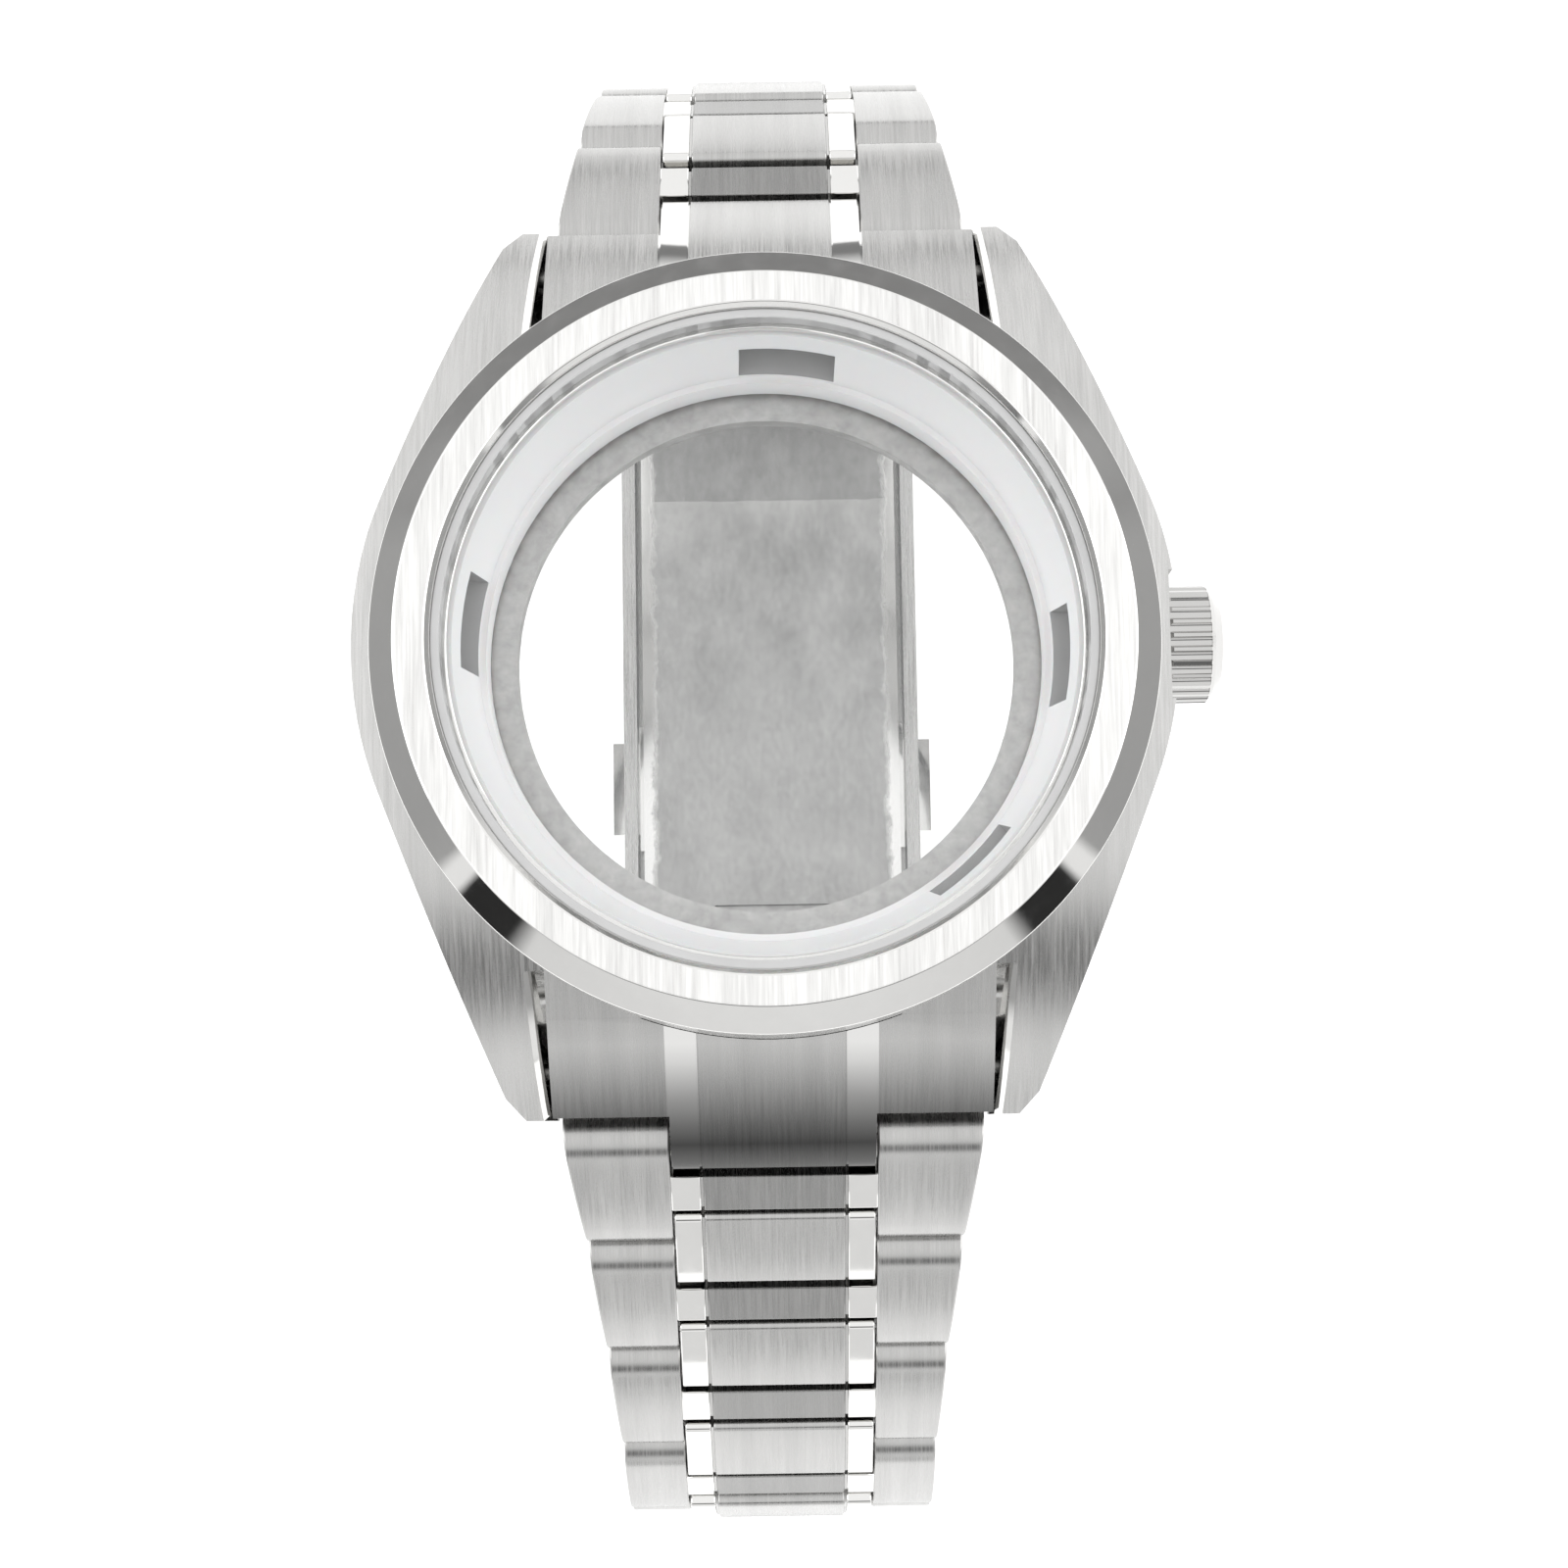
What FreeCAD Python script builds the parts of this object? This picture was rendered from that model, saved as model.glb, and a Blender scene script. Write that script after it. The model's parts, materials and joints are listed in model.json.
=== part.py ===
import FreeCAD
import Part
import Sketcher
import math
import os

# Empty steel watch case with its bracelet and its fold-over clasp.
# Millimetres. +Z points out of the dial side, +Y to 12 o'clock, +X to the crown at 3 o'clock.
# The origin is on the case's axis, half way down the bore that holds the movement.

doc = FreeCAD.newDocument("watch_case")
sheet = doc.addObject("Spreadsheet::Sheet", "sizes")
size_names = []
node_objects = []


class Measure:
    """A length or angle that knows its number and its formula in the sheet of sizes."""

    def __init__(self, number, formula):
        self.number = float(number)
        self.formula = formula

    def __float__(self):
        return self.number

    def __neg__(self):
        return Measure(-self.number, "(0 - %s)" % self.formula)

    def __add__(self, other):
        other = measure(other)
        return Measure(self.number + other.number, "(%s + %s)" % (self.formula, other.formula))

    def __radd__(self, other):
        return measure(other) + self

    def __sub__(self, other):
        other = measure(other)
        return Measure(self.number - other.number, "(%s - %s)" % (self.formula, other.formula))

    def __rsub__(self, other):
        return measure(other) - self

    def __mul__(self, other):
        other = measure(other)
        return Measure(self.number * other.number, "(%s * %s)" % (self.formula, other.formula))

    def __rmul__(self, other):
        return measure(other) * self

    def __truediv__(self, other):
        other = measure(other)
        return Measure(self.number / other.number, "(%s / %s)" % (self.formula, other.formula))


def measure(value):
    """A plain number becomes a measure, and a measure stays one."""
    if isinstance(value, Measure):
        return value
    return Measure(value, "%.6f" % value if value >= 0 else "(0 - %.6f)" % -value)


def size(alias, number, note):
    """Write one driving size in the sheet and return it."""
    size_names.append(alias)
    row = len(size_names)
    sheet.set("A%d" % row, note)
    sheet.set("B%d" % row, "%g" % number)
    sheet.setAlias("B%d" % row, alias)
    return Measure(number, "sizes.%s" % alias)


def follow(alias, value, note):
    """Write a size that follows from others in the sheet, as its formula, and return it."""
    size_names.append(alias)
    row = len(size_names)
    sheet.set("A%d" % row, note)
    sheet.set("B%d" % row, "=" + value.formula.replace("sizes.", ""))
    sheet.setAlias("B%d" % row, alias)
    return Measure(value.number, "sizes.%s" % alias)


def cosine(angle):
    """Cosine of an angle in degrees."""
    return Measure(math.cos(math.radians(float(angle))), "cos(%s * 1 deg)" % measure(angle).formula)


def sine(angle):
    """Sine of an angle in degrees."""
    return Measure(math.sin(math.radians(float(angle))), "sin(%s * 1 deg)" % measure(angle).formula)


def square_root(value):
    """Square root of a measure."""
    return Measure(math.sqrt(float(value)), "sqrt(%s)" % value.formula)


# Sizes of the case
case_radius = size("case_radius", 18.4, "half the case's width without its crown")
case_top = size("case_top", 5.0, "height of the face under the bezel")
case_bottom = size("case_bottom", -2.6, "height of the face over the case back's flange")
lug_length = size("lug_length", 21.0, "from the centre to the lugs' tips")
lug_gap = size("lug_gap", 20.0, "width between the lugs")
lug_tip = size("lug_tip", 1.3, "width of a lug at its tip")
lug_corner = size("lug_corner", 1.0, "length of the slanted corner beside a lug's tip")
lug_corner_cut = size("lug_corner_cut", 0.49, "width that this corner takes off the lug")
lug_bottom = size("lug_bottom", -4.4, "height of the underside of the lugs' tips")
lug_arch = size("lug_arch", 26.5, "radius of the curve along the top of the lugs")
lug_arch_start = size("lug_arch_start", 3.3, "where that curve starts, from the centre")
lug_facet = size("lug_facet", 1.15, "width of the polished inner facet of a lug at the bezel")
bezel_inset = size("bezel_inset", 0.9, "from the case's widest line in to the bezel's edge")
case_wall = size("case_wall", 3.05, "wall round the movement holder")
back_wall = size("back_wall", 2.0, "wall round the opening for the case back")
flange_inset = size("flange_inset", 0.5, "from the bezel's edge in to the case back's edge")
under_inset = size("under_inset", 3.0, "from that edge in to where the underside's slope starts")
wall_radius = follow("wall_radius", case_radius - bezel_inset, "round wall between the lugs")
holder_room = follow("holder_room", wall_radius - case_wall, "radius of the movement holder's room")
back_opening = follow("back_opening", wall_radius - back_wall, "radius of the case back's opening")
flange_radius = follow("flange_radius", wall_radius - flange_inset, "radius of the case back's flange")
under_start = follow("under_start", flange_radius - under_inset, "where the underside starts to slope")
seat_gap = size("seat_gap", 0.03, "gap between faces that are drawn up against each other")
fit_gap = size("fit_gap", 0.05, "radial clearance of a running fit")

# A flank is the straight line from a lug's tip that just touches the round part of the case.
flank_x = lug_gap / 2 + lug_tip + lug_corner_cut
flank_square = flank_x * flank_x + lug_length * lug_length
flank_run = square_root(flank_square - case_radius * case_radius)
flank_cosine = follow("flank_cosine", (case_radius * flank_x + flank_run * lug_length) / flank_square,
                      "cosine of the flanks' turn")
flank_sine = follow("flank_sine", (case_radius * lug_length - flank_run * flank_x) / flank_square,
                    "sine of the flanks' turn")

# Sizes of the bezel, the crystal and the movement holder
bezel_top = size("bezel_top", 6.9, "height of the brushed ring")
bezel_edge = size("bezel_edge", 5.9, "height of the bezel's outer edge")
bezel_bevel = size("bezel_bevel", 1.2, "width of the polished bevel round the brushed ring")
ring_width = size("ring_width", 1.35, "width of the brushed ring")
rim_width = size("rim_width", 0.25, "width of the small bevel inside that ring")
gasket_wall = size("gasket_wall", 0.4, "wall of the crystal gasket")
ring_outer = follow("ring_outer", wall_radius - bezel_bevel, "outer radius of the brushed ring")
ring_inner = follow("ring_inner", ring_outer - ring_width, "inner radius of the brushed ring")
crystal_radius = follow("crystal_radius", ring_inner - rim_width - gasket_wall, "radius of the crystal")
crystal_low = size("crystal_low", 5.5, "height of the crystal's seat")
crystal_high = size("crystal_high", 7.1, "height of the crystal's top")
crystal_bevel = size("crystal_bevel", 0.25, "bevel round the crystal")
crystal_seat = size("crystal_seat", 0.2, "width of the ledge under the crystal")
holder_wall = size("holder_wall", 1.65, "from the holder's room in to the bore for the movement")
movement_radius = follow("movement_radius", holder_room - holder_wall, "bore that holds the movement")
holder_half = size("holder_half", 1.0, "half the height of that bore")
holder_top = size("holder_top", 4.8, "height of the holder's top edge")
holder_lip = size("holder_lip", 0.4, "wall of the holder at its top edge")
holder_ledge = size("holder_ledge", 0.3, "width of the flat ledge round the bore")
slot_width = size("slot_width", 4.4, "width of a slot in the holder's wall")
slot_low = size("slot_low", 1.2, "height of the slots' lower edge")
slot_high = size("slot_high", 3.6, "height of the slots' upper edge")
slot_angle_12 = size("slot_angle_12", 85, "place of the slot at 12 o'clock")
slot_angle_9 = size("slot_angle_9", 174, "place of the slot at 9 o'clock")
slot_angle_3 = size("slot_angle_3", -2, "place of the slot that the stem passes at 3 o'clock")
slot_angle_5 = size("slot_angle_5", -47, "place of the slot between 4 and 5 o'clock")

# Sizes of the case back
spigot_height = size("spigot_height", 1.2, "height of the case back's screwed spigot")
flange_height = size("flange_height", 1.1, "thickness of the case back's flange")
flange_bevel = size("flange_bevel", 0.6, "bevel round the flange")
window_lip = size("window_lip", 1.2, "how much smaller than the movement's bore the window is")
glass_seat = size("glass_seat", 0.9, "width of the seat of the window's glass")
window_radius = follow("window_radius", movement_radius - window_lip, "radius of the window")
glass_radius = follow("glass_radius", window_radius + glass_seat, "radius of the window's glass")
glass_height = size("glass_height", 1.4, "thickness of the window's glass")
back_gasket_wall = size("back_gasket_wall", 0.3, "wall of the gasket round the window's glass")
key_count = 6
key_inset = size("key_inset", 1.6, "from the flange's edge in to the key notches")
key_radius = follow("key_radius", flange_radius - key_inset, "where the key notches are")
key_size = size("key_size", 0.9, "radius of a key notch")
key_depth = size("key_depth", 0.6, "depth of a key notch")
seal_inset = size("seal_inset", 0.35, "from the case back's opening to its gasket")
seal_inner = follow("seal_inner", back_opening + seal_inset, "inner radius of that gasket")
seal_wall = size("seal_wall", 0.6, "width of that gasket")
seal_height = size("seal_height", 0.35, "thickness of that gasket")

# Sizes of the crown
crown_height = size("crown_height", 2.0, "height of the crown's axis")
crown_radius = size("crown_radius", 2.65, "radius of the crown")
crown_sink = size("crown_sink", 0.4, "how far the crown is sunk in the case's side")
crown_room = size("crown_room", 0.25, "gap round the crown in its recess")
crown_start = follow("crown_start", case_radius - crown_sink, "where the crown starts")
crown_length = size("crown_length", 2.5, "length of the crown")
crown_dome = size("crown_dome", 1.9, "radius of the crown's flat end")
flute_count = 26
flute_radius = size("flute_radius", 0.26, "radius of a flute")
flute_length = size("flute_length", 1.9, "length of the fluted part")
tube_radius = size("tube_radius", 1.25, "outer radius of the crown tube")
tube_bore = size("tube_bore", 0.75, "bore of the crown tube")
tube_reach = size("tube_reach", 1.2, "how far the crown tube reaches into the crown")
tube_end = follow("tube_end", crown_start + tube_reach, "where the crown tube ends")
stem_thread = size("stem_thread", 0.45, "radius of the crown's tapped hole for a stem")
post_length = size("post_length", 3.4, "length of the crown's tapped post")
crown_seal = size("crown_seal", 0.4, "wall of the ring seal inside the crown")

# Sizes of the bracelet
pitch = size("pitch", 7.5, "from one link to the next along the bracelet")
bar_span = size("bar_span", 5.7, "between the two pins of one link")
link_gap = size("link_gap", 0.25, "gap between the outer links")
knuckle = size("knuckle", 1.3, "from a pin down to the wrist side")
link_top = size("link_top", 1.5, "from a pin up to the outside")
knuckle_fillet = size("knuckle_fillet", 1.25, "rounding of the links' ends on the wrist side")
shoulder_fillet = size("shoulder_fillet", 0.7, "rounding of the outer links' ends on the outside")
centre_width = size("centre_width", 9.7, "width between the outer links")
side_gap = size("side_gap", 0.08, "gap beside a centre link")
centre_reach = size("centre_reach", 1.35, "from a pin to the end of a centre link")
centre_fillet = size("centre_fillet", 0.2, "rounding of the centre links' ends on the outside")
short_bar = size("short_bar", 2.2, "length of the short centre bar of a link")
strip_width = size("strip_width", 1.45, "width of a polished strip")
groove_width = size("groove_width", 0.12, "width of the line between a strip and the centre")
groove_depth = size("groove_depth", 0.14, "depth of that line")
pin_radius = size("pin_radius", 0.45, "radius of a link pin")
pin_inset = size("pin_inset", 0.3, "how far a pin's ends lie inside the link's sides")
lug_clearance = size("lug_clearance", 0.15, "gap between the first link's side and a lug")
width_start = follow("width_start", lug_gap - lug_clearance * 2, "width of the bracelet at the case")
width_first = size("width_first", 18.0, "width after the first link")
width_second = size("width_second", 16.8, "width after the second link")
width_end = size("width_end", 16.0, "width from the third link on")
links_12 = 6
links_6 = 9

# Sizes of the end links and the lug bars
hinge_beyond = size("hinge_beyond", 0.4, "from the lugs' ends out to the first pin")
hinge_height = size("hinge_height", -4.6, "height of the first pin")
nose_reach = size("nose_reach", 1.9, "from that pin out to the end of the end link's nose")
nose_slope = size("nose_slope", 33, "slope of the end link's nose, in degrees")
panel_inset = size("panel_inset", 0.5, "from that pin in to the end of the end link's side panels")
hinge_out = follow("hinge_out", lug_length + hinge_beyond, "from the centre to the first pin")
nose_end = follow("nose_end", hinge_out + nose_reach, "where the end link's nose ends")
panel_end = follow("panel_end", hinge_out - panel_inset, "where the end link's side panels end")
panel_clear = size("panel_clear", 1.65, "radius that is kept free round the first pin")
panel_sink = size("panel_sink", 0.1, "how far the end link lies under the lugs' tops")
end_link_gap = size("end_link_gap", 0.1, "gap between the end link and a lug")
bar_inset = size("bar_inset", 2.2, "from the lugs' ends in to the lug bars")
bar_out = follow("bar_out", lug_length - bar_inset, "from the centre to the lug bars")
bar_height = size("bar_height", -1.9, "height of the lug bars")
bar_radius = size("bar_radius", 0.75, "radius of a spring bar")
bar_tip = size("bar_tip", 0.4, "radius of a spring bar's tips")
bar_tip_length = size("bar_tip_length", 0.9, "length of a spring bar's tip")

# Sizes of the closed loop
clasp_depth = size("clasp_depth", -41.4, "height of the clasp's two end bars")
clasp_span = size("clasp_span", 40.0, "between the clasp's two end bars")
slope_12 = size("slope_12", 34, "slope of the first link towards 12, in degrees")
slope_6 = size("slope_6", 43, "slope of the first link towards 6, in degrees")
slope_end = size("slope_end", 175, "slope that the 6 o'clock half tends to at the clasp")

# Sizes of the clasp. Its heights run outwards, away from the wrist, from the line of its end bars.
cover_wall = size("cover_wall", 0.8, "wall of the cover's sides")
cover_gap = size("cover_gap", 0.1, "gap between a wall and the last link")
cover_width = follow("cover_width", width_end + (cover_wall + cover_gap) * 2, "width of the cover")
cover_floor = size("cover_floor", 1.9, "height of the cover's inner face")
cover_outside = size("cover_outside", 2.9, "height of the cover's outer face")
cover_rim = size("cover_rim", -0.9, "height of the rims of the cover's sides")
cover_inset = size("cover_inset", 2.0, "from an end bar to the cover's end")
tongue_gap = size("tongue_gap", 0.1, "gap beside the parts that reach between the last links")
blade_inset = size("blade_inset", 0.3, "how far the inner blade's sides lie inside the last links'")
tongue_width = follow("tongue_width", centre_width - tongue_gap * 2, "width of those parts")
blade_width = follow("blade_width", width_end - blade_inset * 2, "width of the inner blade")
blade_plate = size("blade_plate", 0.85, "thickness of the inner blade")
middle_inset = size("middle_inset", 0.4, "how much narrower the middle blade is on each side")
middle_width = follow("middle_width", blade_width - middle_inset * 2, "width of the middle blade")
middle_high = size("middle_high", 0.65, "height of the middle blade's outer face")
middle_low = size("middle_low", -0.25, "height of the middle blade's wrist side")
cover_hinge = size("cover_hinge", 3.8, "from the 12 o'clock bar to the cover's hinge pin")
cover_hinge_height = size("cover_hinge_height", 0.75, "height of the cover's hinge pin")
hinge_inset = size("hinge_inset", 3.6, "from the 6 o'clock bar to the blades' hinge pin")
blade_hinge = follow("blade_hinge", clasp_span - hinge_inset, "from the 12 o'clock bar to that pin")
blade_hinge_height = size("blade_hinge_height", -0.35, "height of the blades' hinge pin")
barrel_radius = size("barrel_radius", 0.95, "radius of the hinge barrels")
barrel_width = size("barrel_width", 7.0, "width of the middle blade's barrel between the inner blade's")
barrel_gap = size("barrel_gap", 0.1, "side gap between hinge barrels")
neck_length = size("neck_length", 2.3, "length of the inner blade's narrow neck")
button_inset = size("button_inset", 11.4, "from the 6 o'clock bar to the middle of the buttons")
button_place = follow("button_place", clasp_span - button_inset, "from the 12 o'clock bar to them")
button_length = size("button_length", 5.6, "length of a button")
button_low = size("button_low", 0.85, "height of a button's wrist side")
button_high = size("button_high", 1.75, "height of a button's outer side")
button_proud = size("button_proud", 0.75, "how far a button stands out of the cover")
button_flange = size("button_flange", 2.0, "how much longer a button is inside the cover")
button_lip = size("button_lip", 1.0, "thickness of that longer part")
button_travel = size("button_travel", 0.6, "how far a button is pushed in")
stud_radius = size("stud_radius", 1.1, "radius of the catch stud on the middle blade")
hook_gap = size("hook_gap", 0.9, "from the stud to a button's inner end at rest")
spring_leaf = size("spring_leaf", 0.3, "thickness of the buttons' flat spring")
spring_length = size("spring_length", 5.0, "length of that spring's arms")

doc.recompute()


def plane_of(body, role):
    """One of a body's own origin planes or axes."""
    for feature in body.Origin.OriginFeatures:
        if feature.Role == role:
            return feature
    raise ValueError(role)


def new_body(label):
    """An empty body that takes the label of its piece."""
    body = doc.addObject("PartDesign::Body", label)
    body.Label = label
    return body


def new_sketch(body, name, role, offset):
    """A sketch on one of the body's origin planes, moved along the plane's normal by offset."""
    sketch = body.newObject("Sketcher::SketchObject", name)
    sketch.AttachmentSupport = [(plane_of(body, role), "")]
    sketch.MapMode = "FlatFace"
    if offset is not None:
        sketch.setExpression("AttachmentOffset.Base.z", offset.formula)
    return sketch


def hold(sketch, kind, element, point, value):
    """Fix one coordinate of a sketch point to a measure."""
    index = sketch.addConstraint(Sketcher.Constraint(kind, element, point, float(value)))
    if "sizes" in value.formula:
        sketch.setExpression("Constraints[%d]" % index, value.formula)


def outline(body, name, role, steps, offset=None):
    """A closed outline on an origin plane. A step is (x, y), a corner that a straight line goes to,
    or (x, y, centre x, centre y, radius, turn), the end of an arc that turns left or right."""
    sketch = new_sketch(body, name, role, offset)
    corners = [(measure(step[0]), measure(step[1])) for step in steps]
    flat = FreeCAD.Vector(0, 0, 1)
    for index, step in enumerate(steps):
        start_x, start_y = corners[index - 1]
        end_x, end_y = corners[index]
        start = FreeCAD.Vector(float(start_x), float(start_y), 0)
        end = FreeCAD.Vector(float(end_x), float(end_y), 0)
        if len(step) == 2:
            sketch.addGeometry(Part.LineSegment(start, end), False)
            continue
        centre = FreeCAD.Vector(float(step[2]), float(step[3]), 0)
        circle = Part.Circle(centre, flat, (start - centre).Length)
        first = math.atan2(start.y - centre.y, start.x - centre.x)
        last = math.atan2(end.y - centre.y, end.x - centre.x)
        if step[5] == "right":
            first, last = last, first
        sketch.addGeometry(Part.ArcOfCircle(circle, first, last), False)
    for index, step in enumerate(steps):
        after = (index + 1) % len(steps)
        sketch.addConstraint(Sketcher.Constraint(
            "Coincident", index, end_point(step), after, start_point(steps[after])))
    for index, step in enumerate(steps):
        end_x, end_y = corners[index]
        if len(step) == 2:
            hold(sketch, "DistanceX", index, 2, end_x)
            hold(sketch, "DistanceY", index, 2, end_y)
            continue
        centre_x, centre_y = measure(step[2]), measure(step[3])
        hold(sketch, "DistanceX", index, 3, centre_x)
        hold(sketch, "DistanceY", index, 3, centre_y)
        steep = abs(float(end_y - centre_y)) < abs(float(end_x - centre_x))
        if steep:
            hold(sketch, "DistanceY", index, end_point(step), end_y)
        else:
            hold(sketch, "DistanceX", index, end_point(step), end_x)
    return sketch


def end_point(step):
    """Number of the point at the end of a step: an arc drawn to the right runs backwards."""
    return 1 if len(step) > 2 and step[5] == "right" else 2


def start_point(step):
    """Number of the point at the start of a step."""
    return 3 - end_point(step)


def circles(body, name, role, places, offset=None):
    """Full circles on an origin plane, each given as (x, y, radius)."""
    sketch = new_sketch(body, name, role, offset)
    for index, (centre_x, centre_y, radius) in enumerate(places):
        centre = FreeCAD.Vector(float(centre_x), float(centre_y), 0)
        sketch.addGeometry(Part.Circle(centre, FreeCAD.Vector(0, 0, 1), float(radius)), False)
        hold(sketch, "DistanceX", index, 3, measure(centre_x))
        hold(sketch, "DistanceY", index, 3, measure(centre_y))
        turn = sketch.addConstraint(Sketcher.Constraint("Radius", index, float(radius)))
        sketch.setExpression("Constraints[%d]" % turn, measure(radius).formula)
    return sketch


def rectangle(low_x, high_x, low_y, high_y):
    """Corners of an upright rectangle."""
    return [(low_x, low_y), (high_x, low_y), (high_x, high_y), (low_x, high_y)]


def extrude(body, kind, sketch, length):
    """A pad or pocket of a sketch, evenly to both sides of its plane."""
    feature = body.newObject("PartDesign::" + kind, sketch.Name + "_" + kind.lower())
    feature.Profile = sketch
    feature.SideType = "Symmetric"
    feature.setExpression("Length", measure(length).formula)
    return feature


def pad(body, sketch, length):
    """Add the sketch's area, length long."""
    return extrude(body, "Pad", sketch, length)


def pocket(body, sketch, length):
    """Cut the sketch's area out, length long."""
    return extrude(body, "Pocket", sketch, length)


def spin(body, kind, sketch, role):
    """A full turn of a sketch about one of the body's origin axes: Revolution or Groove."""
    feature = body.newObject("PartDesign::" + kind, sketch.Name + "_" + kind.lower())
    feature.Profile = sketch
    feature.ReferenceAxis = (plane_of(body, role), [""])
    feature.Angle = 360
    return feature


def repeat_round(body, feature, count, role):
    """Copies of a feature, evenly round one of the body's origin axes."""
    pattern = body.newObject("PartDesign::PolarPattern", feature.Name + "_round")
    pattern.Originals = [feature]
    pattern.Axis = (plane_of(body, role), [""])
    pattern.Angle = 360
    pattern.Occurrences = count
    body.Tip = pattern
    return pattern


def round_edges(body, name, amount, wanted):
    """Fillet the edges of the body whose middle the test picks."""
    doc.recompute()
    last = body.Tip
    names = []
    for index, edge in enumerate(last.Shape.Edges):
        middle = edge.valueAt((edge.FirstParameter + edge.LastParameter) / 2)
        if wanted(middle, edge):
            names.append("Edge%d" % (index + 1))
    feature = body.newObject("PartDesign::Fillet", name)
    feature.Base = (last, names)
    feature.setExpression("Radius", amount.formula)
    body.Tip = feature
    return feature


def finish_node(thing, label):
    """Note a finished piece that is written to a file of its own."""
    thing.Label = label
    node_objects.append((label, thing))
    return thing


def along_x(edge):
    """Whether an edge runs straight along X."""
    run = edge.Vertexes[-1].Point - edge.Vertexes[0].Point
    return run.Length > 0.1 and abs(run.x) > 0.999 * run.Length


def ring(label, steps):
    """A piece turned about the case's axis, drawn as radius and height."""
    body = new_body(label)
    spin(body, "Revolution", outline(body, label + "_profile", "XZ_Plane", steps), "Z_Axis")
    return finish_node(body, label)


# The case middle with its four lugs

arch_centre = case_top + 0.05 - lug_arch


def arch_at(along, radius):
    """Height of the arched top, or of a curve beside it, at a distance from the centre."""
    run = along - lug_arch_start
    return arch_centre + square_root(radius * radius - run * run)


def flank_at(along):
    """Half the case's width on the straight flank at a distance from the centre line."""
    return (case_radius - flank_sine * along) / flank_cosine


def make_mid_case():
    body = new_body("mid_case")
    touch_x = case_radius * flank_cosine
    touch_y = case_radius * flank_sine
    end_x = flank_at(lug_length)
    plan = [(touch_x, -touch_y), (touch_x, touch_y, 0, 0, case_radius, "left"),
            (end_x, lug_length), (-end_x, lug_length),
            (-touch_x, touch_y), (-touch_x, -touch_y, 0, 0, case_radius, "left"),
            (-end_x, -lug_length), (end_x, -lug_length)]
    middle_height = (case_top + lug_bottom) / 2
    pad(body, outline(body, "case_plan", "XY_Plane", plan, middle_height), case_top - lug_bottom)
    wide = case_radius * 3
    for side, mark in ((1, "12"), (-1, "6")):
        beyond = lug_length + 2
        turn = "right" if side > 0 else "left"
        low_end = arch_at(beyond, lug_arch)
        above = [(lug_arch_start * side, arch_centre + lug_arch),
                 (beyond * side, low_end, lug_arch_start * side, arch_centre, lug_arch, turn),
                 (beyond * side, case_top + 2), (lug_arch_start * side, case_top + 2)]
        pocket(body, outline(body, "arch_" + mark, "YZ_Plane", above), wide)
    slope_out = lug_length - lug_corner
    under = [(slope_out, lug_bottom), (slope_out, lug_bottom - 2), (-slope_out, lug_bottom - 2),
             (-slope_out, lug_bottom), (-under_start, case_bottom), (under_start, case_bottom)]
    pocket(body, outline(body, "underside", "YZ_Plane", under), wide)
    corner_y = lug_length - lug_corner
    corner_x = flank_at(corner_y)
    tip_x = lug_gap / 2 + lug_tip
    off = [(corner_x, corner_y), (tip_x, lug_length), (tip_x, lug_length + 1),
           (corner_x + 2, lug_length + 1), (corner_x + 2, corner_y)]
    for name, across, along in (("a", 1, 1), ("b", -1, 1), ("c", -1, -1), ("d", 1, -1)):
        slanted = [(x * across, y * along) for x, y in off]
        pocket(body, outline(body, "lug_corner_" + name, "XY_Plane", slanted), wide)
    for side, mark in ((1, "12"), (-1, "6")):
        low, high = sorted((under_start * side, (lug_length + 2) * side), key=float)
        gap = rectangle(-lug_gap / 2, lug_gap / 2, low, high)
        pocket(body, outline(body, "lug_gap_" + mark, "XY_Plane", gap), case_radius * 2)
        facet_out = lug_gap / 2 + lug_facet
        facet_low = lug_bottom + 1
        facet_high = case_top + 1
        facet_start = square_root(wall_radius * wall_radius - lug_gap * lug_gap / 4)
        facet_middle = (facet_start + lug_length + 2) / 2 * -side
        facet_run = lug_length + 2 - facet_start
        for hand, name in ((1, "right"), (-1, "left")):
            wedge = [(lug_gap / 2 * hand, facet_low), (facet_out * hand, facet_high),
                     ((lug_gap / 2 - 1) * hand, facet_high), ((lug_gap / 2 - 1) * hand, facet_low)]
            sketch = outline(body, "facet_%s_%s" % (name, mark), "XZ_Plane", wedge, facet_middle)
            pocket(body, sketch, facet_run)
    drum = circles(body, "drum", "XY_Plane", [(0, 0, wall_radius)], (case_top + case_bottom) / 2)
    pad(body, drum, case_top - case_bottom)
    room = [(0, case_top + 1), (holder_room, case_top + 1), (holder_room, -holder_half),
            (back_opening, -holder_half), (back_opening, lug_bottom), (0, lug_bottom)]
    spin(body, "Groove", outline(body, "room", "XZ_Plane", room), "Z_Axis")
    seal = rectangle(seal_inner - seat_gap, seal_inner + seal_wall + seat_gap,
                     case_bottom - 1, case_bottom + seal_height + seat_gap)
    spin(body, "Groove", outline(body, "seal_groove", "XZ_Plane", seal), "Z_Axis")
    tube_hole = circles(body, "tube_hole", "YZ_Plane", [(0, crown_height, tube_radius)], case_radius)
    pocket(body, tube_hole, case_radius / 2)
    recess_half = crown_radius + crown_room
    recess = rectangle(-recess_half, recess_half, crown_height - recess_half, case_top + 1)
    pocket(body, outline(body, "crown_recess", "YZ_Plane", recess, crown_start + case_radius / 4),
           case_radius / 2)
    bar_holes = circles(body, "bar_holes", "YZ_Plane",
                        [(bar_out, bar_height, bar_tip + fit_gap), (-bar_out, bar_height, bar_tip + fit_gap)])
    pocket(body, bar_holes, lug_gap + bar_tip_length * 2 + fit_gap * 2)
    finish_node(body, "mid_case")


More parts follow.
